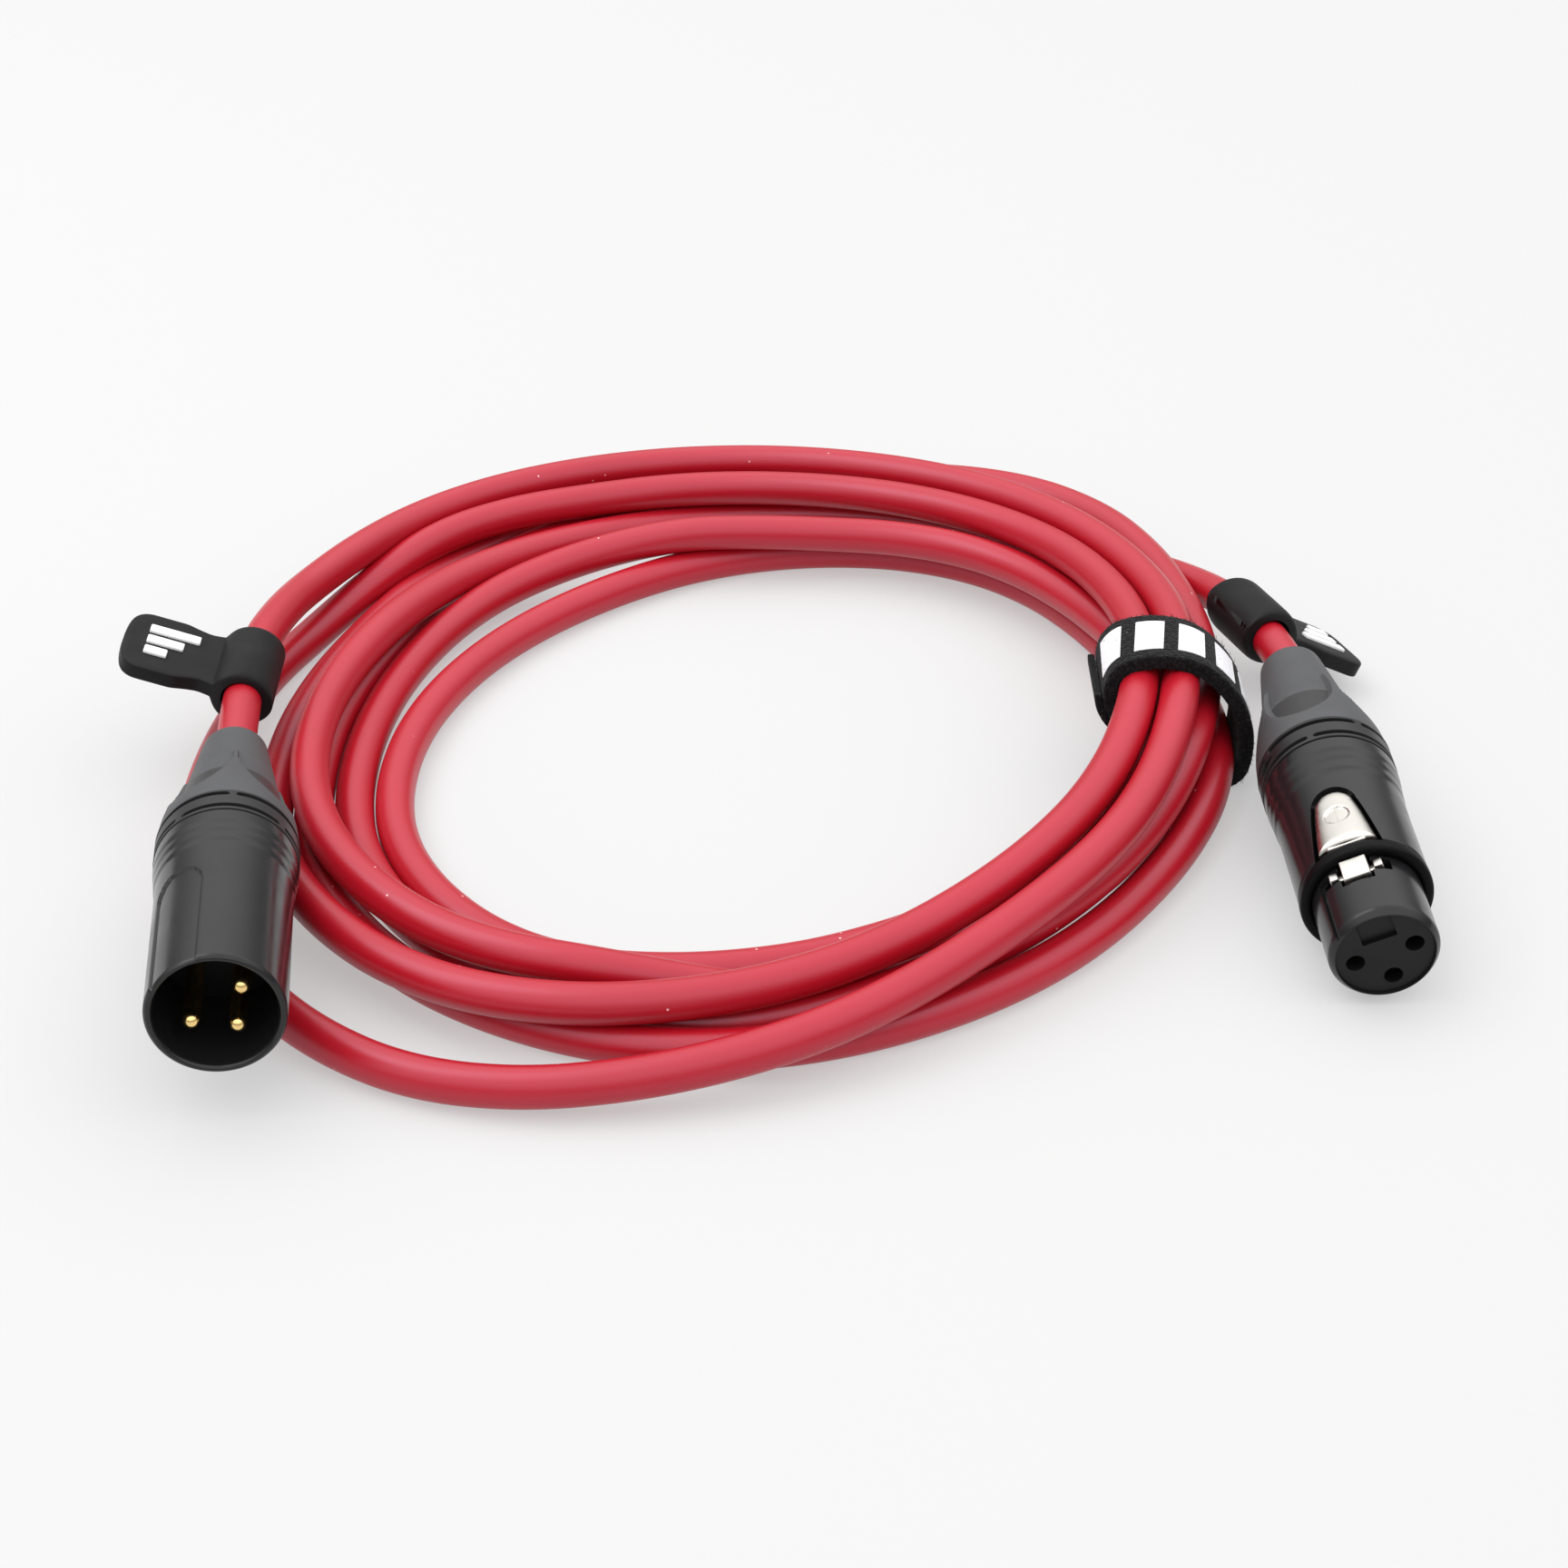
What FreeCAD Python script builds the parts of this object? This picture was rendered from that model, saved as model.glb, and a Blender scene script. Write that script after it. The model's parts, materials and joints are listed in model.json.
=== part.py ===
"""Coiled microphone lead with a three-pin plug at each end, in millimetres.

Z is up and the lead lies on the plane z = 0. The cable is wound clockwise, seen from above, round
COIL_CENTRE. The plugs lie to the left (pins) and to the right (sockets), both pointing to -Y, and a
hook-and-loop strap ties the six turns on the right. Each connector is drawn in its own frame, with
+X out of its front, +Z at its latch side and its front face at x = 0, and is then put in place.
"""
import FreeCAD, Part
import math
import os

V = FreeCAD.Vector
UP = V(0, 0, 1)

# ---------------------------------------------------------------- driving dimensions
CABLE_R = 3.0
COIL_CENTRE = V(-1.23, 21.70, 0)

# Places of the connectors' front faces, from the coil's centre, and their turns about Z, Y and X.
MALE_FRONT, MALE_ANGLES = V(-69.1, -84.1, 17.15), (-82.9, -1.6, 35.0)
FEMALE_FRONT, FEMALE_ANGLES = V(88.7, -59.3, 9.0), (-87.6, 3.2, 23.0)

SHELL_R = 9.5            # nose end of both shells
REAR_R = 10.0            # rear end of both shells and the coding rings
WALL_BORE_R = 8.6        # inside of a shell behind its insert
MALE_RING_X = -35.8      # front face of each coding ring
FEMALE_RING_X = -39.3
RING_LENGTH = 5.0
BOOT_LENGTH = 27.9       # from the ring to the boot's tip
BOOT_TIP_R = 4.9
MOUTH_BORE_R = 8.2
MOUTH_DEPTH = 16.0
NOSE_R = 7.9             # the plain front stretch, which goes into the mating mouth
NOSE_PLAIN_LENGTH = 7.8
NOSE_BACK_R = 7.5        # from there to the gasket's seat
NOSE_LENGTH = 12.3
GASKET_LENGTH = 2.2
GASKET_R = 9.7
PIN_R = 1.2
PIN_CIRCLE_R = 4.3       # pins 1 and 2 are opposite each other, pin 3 is below, between them
PIN_RECESS = 1.9

LATCH_PIVOT_X = -28.0
LATCH_PIVOT_Z = 6.3
LATCH_HUB_R = 0.8
HUB_CLEARANCE = 0.06

TAG_R = 4.9
TAG_BORE_R = 3.25
TAG_LENGTH = 15.5
FLAG_REACH = 20.0
FLAG_THICKNESS = 2.8

STRAP_THICKNESS = 2.4
STRAP_FRONT_Y, STRAP_BACK_Y = -2.5, 11.0
TAIL_THICKNESS = 1.1
TAIL_ROOT = 0.13         # share of the strap's outline where its free end begins

# ---------------------------------------------------------------- the cable's route
# Radius from the coil's centre and height of the cable's middle, at every 30 degrees of the clock.
STEP = 30
TURNS = (
    ((86.5, 11.5), (95.5, 9.5), (94.5, 10), (86.5, 13), (74.5, 16.5), (66.2, 18.8),
     (64.5, 15.2), (67, 11), (78.5, 6.5), (91, 3), (89.5, 3), (84.8, 3)),
    ((85.5, 3), (86, 8), (84.5, 9.5), (78, 12.5), (67.5, 16.5), (59.9, 18.8),
     (57.5, 15.5), (58.5, 11), (67.3, 9), (77.5, 8.8), (75.8, 6), (73.5, 3)),
    ((76.8, 3), (90, 3), (98, 3), (100.5, 7.5), (81.5, 11.5), (69.4, 12),
     (64, 9), (63, 5.5), (66.5, 3), (66, 3), (63.8, 3), (62, 3)),
    ((65.5, 3.6), (70, 6), (68, 8.4), (71.5, 9), (66.5, 10.5), (63, 12),
     (54.5, 7), (50.8, 3), (54.3, 3), (59.4, 3), (58.1, 3), (55.2, 3)),
    ((55.8, 3), (60.8, 3), (71, 3), (77, 3), (69, 4.5), (66.5, 5.5),
     (61, 4), (57, 3), (61, 3), (68.3, 8.8), (69.3, 9.6), (68.2, 9.2)),
    ((69.5, 9.6), (78.3, 5.5), (86, 3.2), (82.5, 6.2), (75, 6), (72.7, 5.5),
     (67.8, 3.5), (68.3, 3), (72, 3), (73.5, 3), (71.6, 3), (67.7, 3)),
)
LAST_TURN = ((71, 3), (84, 3), (92, 3), (93, 3))

# The two tails, from the connectors' boots to the coil, from the coil's centre.
MALE_TAIL = (V(-77.6, -16.0, 15.25), V(-79.1, -2.0, 15.4), V(-79.3, 16.0, 15.7), V(-77.6, 31.0, 13.8))
FEMALE_TAIL = (V(58.0, 72.5, 3.6), V(67.5, 62.0, 5.6), V(74.6, 51.0, 8.4), V(79.6, 38.0, 11.8),
               V(84.2, 22.5, 13.2), V(85.7, 12.7, 13.0))


def polar(angle, radius, height):
    """A point of the coil at a clock angle in degrees."""
    turn = math.radians(angle)
    return COIL_CENTRE + V(radius * math.cos(turn), radius * math.sin(turn), height)


def place_of(front, angles):
    """Where a connector's or tag's own frame goes in the whole model."""
    return FreeCAD.Placement(COIL_CENTRE + front, FreeCAD.Rotation(*angles))


MALE = place_of(MALE_FRONT, MALE_ANGLES)
FEMALE = place_of(FEMALE_FRONT, FEMALE_ANGLES)
nodes = {}


def add(name, shape, place=None):
    """Keep one named piece, moved from its own frame into the whole model."""
    if place is not None:
        shape = shape.transformed(place.toMatrix(), True)
    nodes[name] = shape


# ---------------------------------------------------------------- plain shapes
def turned(profile):
    """Solid of revolution about X from a closed outline of (x, radius) points."""
    points = [V(x, 0, radius) for x, radius in profile]
    face = Part.Face(Part.makePolygon(points + points[:1]))
    return face.revolve(V(0, 0, 0), V(1, 0, 0), 360)


def pipe(x_rear, x_front, outer, inner):
    """Plain tube along X."""
    return turned(((x_rear, inner), (x_front, inner), (x_front, outer), (x_rear, outer)))


def rod(start, end, radius):
    """Round bar between two points."""
    return Part.makeCylinder(radius, (end - start).Length, start, end - start)


def block(low, high):
    """Box from its lowest to its highest corner."""
    size = V(*high) - V(*low)
    return Part.makeBox(size.x, size.y, size.z, V(*low))


def sector(x_rear, x_front, inner, outer, middle, width):
    """Arc-shaped bar about X: middle and width are angles in degrees, and 0 is towards +Z."""
    points = [V(x_rear, 0, inner), V(x_front, 0, inner), V(x_front, 0, outer), V(x_rear, 0, outer)]
    face = Part.Face(Part.makePolygon(points + points[:1]))
    face.rotate(V(0, 0, 0), V(1, 0, 0), middle - width / 2)
    return face.revolve(V(0, 0, 0), V(1, 0, 0), width)


def bullet(x_front, front_half, x_rear, rear_half, low, high):
    """Upright block that narrows from its front to a round rear end."""
    centre = V(x_rear + rear_half, 0, low)
    corners = [V(x_front, front_half, low), V(x_front, -front_half, low), V(centre.x, -rear_half, low),
               V(centre.x, rear_half, low)]
    body = Part.Face(Part.makePolygon(corners + corners[:1])).extrude(UP * (high - low))
    return body.fuse(Part.makeCylinder(rear_half, high - low, centre, UP))


def contact_places():
    """Across and up coordinates of contacts 1, 2 and 3."""
    return ((-PIN_CIRCLE_R, 0.0), (PIN_CIRCLE_R, 0.0), (0.0, -PIN_CIRCLE_R))


# ---------------------------------------------------------------- cable
def smooth(table, position):
    """Value between hand-set stations, on a cubic curve through them."""
    first = int(math.floor(position))
    part = position - first
    a, b, c, d = (table[min(max(first + k, 0), len(table) - 1)] for k in (-1, 0, 1, 2))
    return b + 0.5 * part * (c - a + part * (2 * a - 5 * b + 4 * c - d + part * (3 * (b - c) + d - a)))


def stations():
    """All the stations in one row: the turns one after the other, then the last part turn."""
    row = [station for turn in TURNS for station in turn]
    return row + list(LAST_TURN)


def centre_at(position):
    """Radius and height of the cable's middle at a station number, whole or not."""
    row = stations()
    radius = smooth([station[0] for station in row], position)
    height = max(smooth([station[1] for station in row], position), CABLE_R)
    return radius, height


def smooth_tube(route, radius):
    """Round tube along straight runs joined by tangent arcs, each as large as its runs allow."""
    edges = []
    start = route[0]
    tightest = 1e9
    for before, corner, after in zip(route, route[1:], route[2:]):
        back = before - corner
        ahead = after - corner
        half_turn = (math.pi - back.getAngle(ahead)) / 2
        reach = 0.45 * min(back.Length, ahead.Length)
        bend = reach / math.tan(half_turn)
        tightest = min(tightest, bend)
        into = corner + back.normalize() * reach
        out = corner + ahead.normalize() * reach
        bisector = (back + ahead).normalize()
        middle = corner + bisector * (bend / math.cos(half_turn) - bend)
        edges.append(Part.LineSegment(start, into).toShape())
        edges.append(Part.Arc(into, middle, out).toShape())
        start = out
    edges.append(Part.LineSegment(start, route[-1]).toShape())
    path = Part.Wire(edges)
    ring = Part.Wire(Part.Circle(route[0], route[1] - route[0], radius).toShape())
    tube = path.makePipeShell([ring], True, True)
    expected = math.pi * radius ** 2 * path.Length
    print("tube: length %.1f, tightest radius %.1f, volume ratio %.4f"
          % (path.Length, tightest, tube.Volume / expected))
    return tube


def route_between(first, last, pitch):
    """Points of the cable from one station to another, at a pitch in stations."""
    count = round((last - first) / pitch)
    places = [first + pitch * number for number in range(count + 1)]
    return [polar(150 - STEP * place, *centre_at(place)) for place in places]


def coil_sections():
    """Outline of the bundle of turns at every half station, as the cut of 16 planes on its strands."""
    sides = 16
    last = len(stations()) - 1
    sections = []
    for half in range(24):
        angle = 150 - STEP * half / 2
        strands = []
        for turn in range(7):
            position = turn * 12 + half / 2
            loose = position < 1 or 8 < position < 13
            if position <= last and not loose:
                strands.append(centre_at(position))
        planes = []
        for side in range(sides):
            way = 2 * math.pi * side / sides
            across, up = math.cos(way), math.sin(way)
            planes.append((across, up, max(r * across + z * up for r, z in strands) + CABLE_R))
        corners = []
        for (a, b, c), (d, e, f) in zip(planes, planes[1:] + planes[:1]):
            scale = a * e - b * d
            corners.append(polar(angle, (c * e - b * f) / scale, max((a * f - c * d) / scale, 0)))
        sections.append(corners)
    return sections


def coil_solid():
    """Closed ring of the coil's outer shape, in flat triangles between its sections."""
    sections = coil_sections()
    faces = []
    for here, ahead in zip(sections, sections[1:] + sections[:1]):
        for side in range(len(here)):
            other = (side + 1) % len(here)
            for corners in ((here[side], here[other], ahead[other]), (here[side], ahead[other], ahead[side])):
                if (corners[1] - corners[0]).cross(corners[2] - corners[0]).Length > 1e-6:
                    faces.append(Part.Face(Part.makePolygon(list(corners) + [corners[0]])))
    shell = Part.makeShell(faces)
    shell.sewShape()
    solid = Part.makeSolid(shell)
    if solid.Volume < 0:
        solid.reverse()
    return solid


def make_cable():
    """The coil, its loose turn under the pin plug and the two tails."""
    add("cable_coil", coil_solid())
    add("cable_loose_turn", smooth_tube(route_between(8, 13, 1), CABLE_R))
    male = [COIL_CENTRE + point for point in MALE_TAIL] + route_between(0, 1, 0.5)
    add("cable_tail_male", smooth_tube(male, CABLE_R))
    female = route_between(75, 75, 1) + [COIL_CENTRE + point for point in FEMALE_TAIL]
    add("cable_tail_female", smooth_tube(female, CABLE_R))


# ---------------------------------------------------------------- parts that both connectors share
def coding_ring(x_front):
    """Clip-in ring with two rows of arc slots and one pointed window."""
    x_rear = x_front - RING_LENGTH
    ring = pipe(x_rear, x_front, REAR_R, WALL_BORE_R)
    slots = []
    for row in (x_rear + 1.0, x_rear + 3.4):
        for number in range(8):
            slots.append(sector(row, row + 0.6, REAR_R - 0.6, REAR_R + 1, 45 * number, 32))
    slots.append(sector(x_rear + 1.9, x_rear + 3.1, REAR_R - 0.6, REAR_R + 1, 62, 26))
    return ring.cut(Part.makeCompound(slots))


def bushing(x_ring):
    """Threaded sleeve that screws into the shell and carries the boot."""
    rear = x_ring - RING_LENGTH
    return turned(((rear - 12, 6.0), (rear - 12, 7.2), (rear - 1.6, 9.0), (rear - 1.6, 9.8), (rear, 9.8),
                   (rear, 8.45), (x_ring + 3.0, 8.45), (x_ring + 3.0, 7.2), (rear - 6, 7.2)))


def boot(x_ring):
    """Rubber cone over the bushing, with a lip at the ring and a rounded tip."""
    rear = x_ring - RING_LENGTH
    tip = rear - BOOT_LENGTH
    return turned(((rear - 1.7, 9.05), (rear - 1.7, 9.8), (rear - 3.4, 9.6), (rear - 13, 7.6), (tip + 6, 5.7),
                   (tip + 0.8, BOOT_TIP_R), (tip, BOOT_TIP_R - 0.8), (tip, CABLE_R + 0.06),
                   (tip + 7, CABLE_R + 0.06), (rear - 12.1, 5.6), (rear - 12.1, 7.25)))


def chuck(x_ring):
    """Slotted collet that grips the cable when the bushing is screwed home."""
    front = x_ring - 3.5
    body = turned(((front - 13, CABLE_R + 0.05), (front, CABLE_R + 0.05), (front, 6.4), (front - 6, 6.4),
                   (front - 13, 4.6)))
    slots = [block((front - 14, -0.5, 0), (front - 4, 0.5, 8)).rotate(V(0, 0, 0), V(1, 0, 0), 90 * number)
             for number in range(4)]
    return body.cut(Part.makeCompound(slots))


def make_rear_end(name, x_ring, place, pin_rear):
    """Ring, bushing, boot, chuck, cable end, conductors and earth spring of one connector."""
    tip = x_ring - RING_LENGTH - BOOT_LENGTH
    stub_front = x_ring - 3.2
    add(name + "_coding_ring", coding_ring(x_ring), place)
    add(name + "_bushing", bushing(x_ring), place)
    add(name + "_boot", boot(x_ring), place)
    add(name + "_chuck", chuck(x_ring), place)
    add(name + "_cable_end", rod(V(tip, 0, 0), V(stub_front, 0, 0), CABLE_R), place)
    earth = block((pin_rear + 0.3, -2.0, 7.5), (pin_rear + 2.3, 2.0, 8.1))
    add(name + "_earth_spring", earth, place)
    for conductor, (across, up) in zip(("drain", "hot", "cold"), contact_places()):
        start = V(stub_front, across * 0.3, up * 0.3)
        add(name + "_conductor_" + conductor, rod(start, V(pin_rear, across, up), 0.7), place)


# ---------------------------------------------------------------- pin connector
def male_shell():
    """Shell with an open mouth, a shallow panel along its top and three fine steps at its rear."""
    rear = MALE_RING_X
    shell = turned(((0, 8.6), (-0.3, 9.2), (-1.0, SHELL_R), (-28.5, SHELL_R), (-29.0, 9.65), (-30.6, 9.65),
                    (-31.0, 9.8), (-32.6, 9.8), (-33.0, 9.92), (rear, 9.92), (rear, WALL_BORE_R),
                    (-MOUTH_DEPTH, WALL_BORE_R), (-MOUTH_DEPTH, MOUTH_BORE_R), (-0.8, MOUTH_BORE_R)))
    panel = block((-19.5, -4.1, 0), (-0.9, 4.1, 12))
    panel = panel.fuse(Part.makeCylinder(4.1, 12, V(-19.5, 0, 0), UP))
    return shell.cut(panel.common(pipe(-30, 1, 12, SHELL_R - 0.22)))


def male_insert():
    """Moulded disc that holds the three pins."""
    disc = rod(V(-29, 0, 0), V(-MOUTH_DEPTH, 0, 0), WALL_BORE_R - 0.05)
    holes = [rod(V(-30, across, up), V(-10, across, up), PIN_R + 0.02) for across, up in contact_places()]
    return disc.cut(Part.makeCompound(holes))


def male_pin(across, up, pin_rear):
    """Round-nosed pin with a solder cup at its rear."""
    pin = turned(((-PIN_RECESS, 0), (-PIN_RECESS - 0.25, 0.6), (-PIN_RECESS - 0.9, 1.05),
                  (-PIN_RECESS - 1.6, PIN_R), (pin_rear, PIN_R), (pin_rear, 0.8), (pin_rear + 2.5, 0.8),
                  (pin_rear + 2.5, 0)))
    pin.translate(V(0, across, up))
    return pin


def make_male():
    """The connector with pins, at the left of the coil."""
    pin_rear = -32.8
    add("male_shell", male_shell(), MALE)
    add("male_insert", male_insert(), MALE)
    for number, (across, up) in enumerate(contact_places(), 1):
        add("male_pin_%d" % number, male_pin(across, up, pin_rear), MALE)
    make_rear_end("male", MALE_RING_X, MALE, pin_rear)


# ---------------------------------------------------------------- socket connector
def female_shell():
    """Shell with a narrower nose, a seat for the gasket, a key groove and a window for the latch."""
    rear = FEMALE_RING_X
    seat = -NOSE_LENGTH - GASKET_LENGTH
    plain = -NOSE_PLAIN_LENGTH
    shell = turned(((0, 7.0), (0, 7.2), (-0.3, 7.6), (-1.0, NOSE_R), (plain, NOSE_R), (plain, NOSE_BACK_R),
                    (seat, NOSE_BACK_R), (seat, 9.3), (seat - 0.4, SHELL_R),
                    (-31.8, SHELL_R), (-32.4, 9.65), (-34.0, 9.65), (-34.4, 9.8), (-36.0, 9.8), (-36.4, 9.92),
                    (rear, 9.92), (rear, WALL_BORE_R), (-30.0, WALL_BORE_R), (-30.0, 7.0)))
    window = bullet(seat, 4.7, -27.8, 3.3, 4, 12)
    arm_slot = block((-29.5, -2.4, 4), (-7.9, 2.4, 8.2))
    tab_slots = block((-11.6, -4.8, 4.9), (-9.9, 4.8, 9))
    groove = block((-12.0, -0.45, NOSE_R - 0.8), (0.5, 0.45, NOSE_R + 1)).rotate(V(0, 0, 0), V(1, 0, 0), 42)
    return shell.cut(Part.makeCompound([window.fuse(arm_slot), groove])).cut(tab_slots)


def female_insert():
    """Moulded core with three contact holes, a notch in its face and a pocket for the latch."""
    core = rod(V(-29.8, 0, 0), V(-0.5, 0, 0), 6.95)
    cuts = [block((-1.2, -2.5, 2.5), (1, 2.5, 8)), block((-31, -2.5, 4.6), (-6.5, 2.5, 8)),
            block((-12.0, -4.9, 4.8), (-9.5, 4.9, 8))]
    for across, up in contact_places():
        cuts.append(rod(V(-3, across, up), V(1, across, up), PIN_R + 0.15))
        cuts.append(rod(V(-31, across, up), V(-3, across, up), 1.65))
    core = core.cut(Part.makeCompound(cuts))
    cradle = block((LATCH_PIVOT_X - 1.4, -2.55, 4.5), (LATCH_PIVOT_X + 0.8, 2.55, LATCH_PIVOT_Z))
    bearing = rod(V(LATCH_PIVOT_X, -4, LATCH_PIVOT_Z), V(LATCH_PIVOT_X, 4, LATCH_PIVOT_Z),
                  LATCH_HUB_R + HUB_CLEARANCE)
    return core.fuse(cradle.common(rod(V(-29.8, 0, 0), V(0, 0, 0), 6.95))).cut(bearing)


def female_socket(across, up):
    """Tubular contact behind one face hole, with a closed rear."""
    bore = PIN_R + 0.05
    tube = turned(((-3.2, bore), (-3.2, 1.6), (-32.5, 1.6), (-32.5, 0), (-18, 0), (-18, bore)))
    tube.translate(V(0, across, up))
    return tube


def female_latch():
    """Lever with a hub at its rear, a thumb pad, an arm under the gasket, a tooth and two tabs."""
    outline = ((-28.0, 5.9), (-24.5, 6.2), (-16.0, 6.3), (-8.4, 6.3), (-8.2, 7.5), (-8.4, 8.3), (-12.1, 8.75),
               (-12.2, 7.1), (-14.9, 7.1), (-15.0, 9.9), (-17.0, 9.85), (-20.0, 9.7), (-24.0, 9.5),
               (-26.6, 9.2), (-26.8, 6.8), (-28.0, 6.7))
    points = [V(x, -4.2, z) for x, z in outline]
    side = Part.Face(Part.makePolygon(points + points[:1])).extrude(V(0, 8.4, 0))
    arm = side.common(block((-30, -2.1, 0), (0, 2.1, 7.6)))
    tooth = side.common(block((-13, -2.1, 0), (0, 2.1, 12)))
    pad = side.common(bullet(-15.0, 4.1, -27.0, 2.9, 7.5, 12))
    tabs = block((-11.4, -3.9, 6.5), (-10.1, 3.9, 7.2))
    hub = rod(V(LATCH_PIVOT_X, -2.1, LATCH_PIVOT_Z), V(LATCH_PIVOT_X, 2.1, LATCH_PIVOT_Z), LATCH_HUB_R)
    return arm.fuse([tooth, pad, tabs, hub])


def latch_spring():
    """Leaf that lifts the latch."""
    return block((-24.0, -1.6, 4.65), (-15.5, 1.6, 5.35))


def female_gasket():
    """Rubber ring with a rounded edge, seated against the shell's shoulder."""
    front = -NOSE_LENGTH
    rear = front - GASKET_LENGTH + 0.02
    bore = NOSE_BACK_R + 0.02
    return turned(((front, bore), (front, 9.1), (front - 0.6, GASKET_R), (rear + 0.6, GASKET_R), (rear, 9.3),
                   (rear, bore)))


def make_female():
    """The connector with sockets, at the right of the coil."""
    add("female_shell", female_shell(), FEMALE)
    add("female_insert", female_insert(), FEMALE)
    for number, (across, up) in enumerate(contact_places(), 1):
        add("female_socket_%d" % number, female_socket(-across, up), FEMALE)
    add("female_latch", female_latch(), FEMALE)
    add("female_latch_spring", latch_spring(), FEMALE)
    add("female_gasket", female_gasket(), FEMALE)
    make_rear_end("female", FEMALE_RING_X, FEMALE, -32.5)


# ---------------------------------------------------------------- cable tags
def tag_place(start, end, tilt):
    """Frame of a tag: origin in the middle of its barrel, +X along the cable, +Y out along its flag."""
    middle = (start + end) * 0.5
    along = (end - start).normalize()
    side = UP.cross(along).normalize()
    up = along.cross(side)
    turn = math.radians(tilt)
    flag = side * math.cos(turn) + up * math.sin(turn)
    return FreeCAD.Placement(COIL_CENTRE + middle, FreeCAD.Rotation(along, flag, V(0, 0, 0), "XYZ"))


def tag_body():
    """Barrel round the cable with a waisted flag."""
    half = TAG_LENGTH / 2
    outline = ((-half, 0), (-half + 0.4, 4.2), (-6.9, 5.9), (-6.7, 7.6), (-8.0, 10.0), (-8.0, FLAG_REACH - 3),
               (-5.0, FLAG_REACH), (5.0, FLAG_REACH), (8.0, FLAG_REACH - 3), (8.0, 10.0), (6.7, 7.6),
               (6.9, 5.9), (half - 0.4, 4.2), (half, 0))
    points = [V(x, y, -FLAG_THICKNESS / 2) for x, y in outline]
    flag = Part.Face(Part.makePolygon(points + points[:1])).extrude(UP * FLAG_THICKNESS)
    barrel = rod(V(-half, 0, 0), V(half, 0, 0), TAG_R)
    return barrel.fuse(flag).cut(rod(V(-20, 0, 0), V(20, 0, 0), TAG_BORE_R))


def tag_mark():
    """Three raised bars of rising length on the flag."""
    top = FLAG_THICKNESS / 2
    bars = [block((-4.1 + 3.1 * number, 12.8 - 2.2 * number, top), (-2.1 + 3.1 * number, 16.4, top + 0.45))
            for number in range(3)]
    return Part.makeCompound(bars)


def make_tags():
    """One tag on each tail, in the middle of a nearly straight run."""
    places = {"male": tag_place(MALE_TAIL[1], MALE_TAIL[2], 19),
              "female": tag_place(FEMALE_TAIL[3], FEMALE_TAIL[4], -28)}
    for name, place in places.items():
        add(name + "_tag", tag_body(), place)
        add(name + "_tag_mark", tag_mark(), place)
        axis = place.Rotation.multVec(V(1, 0, 0))
        print(name, "tag", place.Base, axis)


# ---------------------------------------------------------------- strap
# Outer outline of the strap in the XZ plane, from the coil's centre, clockwise from the lower left.
STRAP_OUTLINE = ((58.8, 8.6), (54.7, 14.5), (54.4, 19.5), (56.9, 23.0), (62.5, 24.3), (68.6, 23.2),
                 (73.3, 19.7), (76.6, 14.9), (78.2, 9.0), (77.4, 2.6), (73.5, 0.0), (67.0, 0.0), (61.8, 2.6))


def strap_line(first, last, offset, count):
    """Points along the strap's outline between two shares of it, moved outwards by an offset."""
    corners = [COIL_CENTRE + V(x, 0, z) for x, z in STRAP_OUTLINE]
    curve = Part.BSplineCurve()
    curve.interpolate(Points=corners, PeriodicFlag=True)
    span = curve.LastParameter - curve.FirstParameter
    line = []
    for step in range(count + 1):
        at = curve.FirstParameter + span * (first + (last - first) * step / count)
        outward = curve.tangent(at)[0].cross(V(0, 1, 0)).normalize()
        point = curve.value(at)
        point.z = max(point.z, 0)
        line.append(point + outward * offset)
    return line


def strap_slab(points, front, back):
    """Closed outline in the XZ plane, drawn out along Y."""
    face = Part.Face(Part.makePolygon(points + points[:1]))
    face.translate(V(0, front, 0))
    return face.extrude(V(0, back - front, 0))


def strap_ribbon(first, last, inner, outer, front, back, pieces):
    """Layer on the strap between two shares of its outline and two offsets from it."""
    far = strap_line(first, last, outer, pieces)
    return strap_slab(strap_line(first, last, inner, pieces) + far[::-1], front, back)


def strap_band():
    """The wound part of the strap, a closed loop."""
    outer = strap_slab(strap_line(0, 1, 0, 52)[:-1], STRAP_FRONT_Y, STRAP_BACK_Y)
    hole = strap_slab(strap_line(0, 1, -STRAP_THICKNESS, 52)[:-1], STRAP_FRONT_Y - 1, STRAP_BACK_Y + 1)
    return outer.cut(hole).Solids[0]


def make_strap():
    """Band, the free end that peels off on the coil's inner side, and a printed row of bars on top."""
    add("strap_band", strap_band())
    add("strap_tail", strap_ribbon(0.01, TAIL_ROOT, 0.15, 0.15 + TAIL_THICKNESS,
                                   STRAP_FRONT_Y + 0.3, STRAP_BACK_Y - 0.3, 8))
    bars = [strap_ribbon(0.16 + 0.085 * number, 0.21 + 0.085 * number, 0.02, 0.25, 0.2, 8.4, 4)
            for number in range(6)]
    add("strap_print", Part.makeCompound(bars))
    hinge = strap_line(TAIL_ROOT, 1, 0, 1)[0]
    print("strap hinge", hinge)


def main():
    """Build every piece, check it and write one file for each."""
    make_cable()
    make_male()
    make_female()
    make_tags()
    make_strap()
    os.makedirs("parts", exist_ok=True)
    own = FreeCAD.BoundBox()
    for name, shape in nodes.items():
        if not shape.isValid() or not shape.Solids:
            print("CHECK", name, shape.ShapeType, shape.isValid(), len(shape.Solids))
        if not name.startswith("cable_"):
            own.add(shape.BoundBox)
        shape.exportStep("parts/%s.step" % name)
    print(len(nodes), "nodes; own pieces", own)
    for name, place in (("male", MALE), ("female", FEMALE)):
        print(name, place.Base, place.Rotation.multVec(V(1, 0, 0)), place.Rotation.multVec(V(0, 1, 0)))


main()
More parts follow.
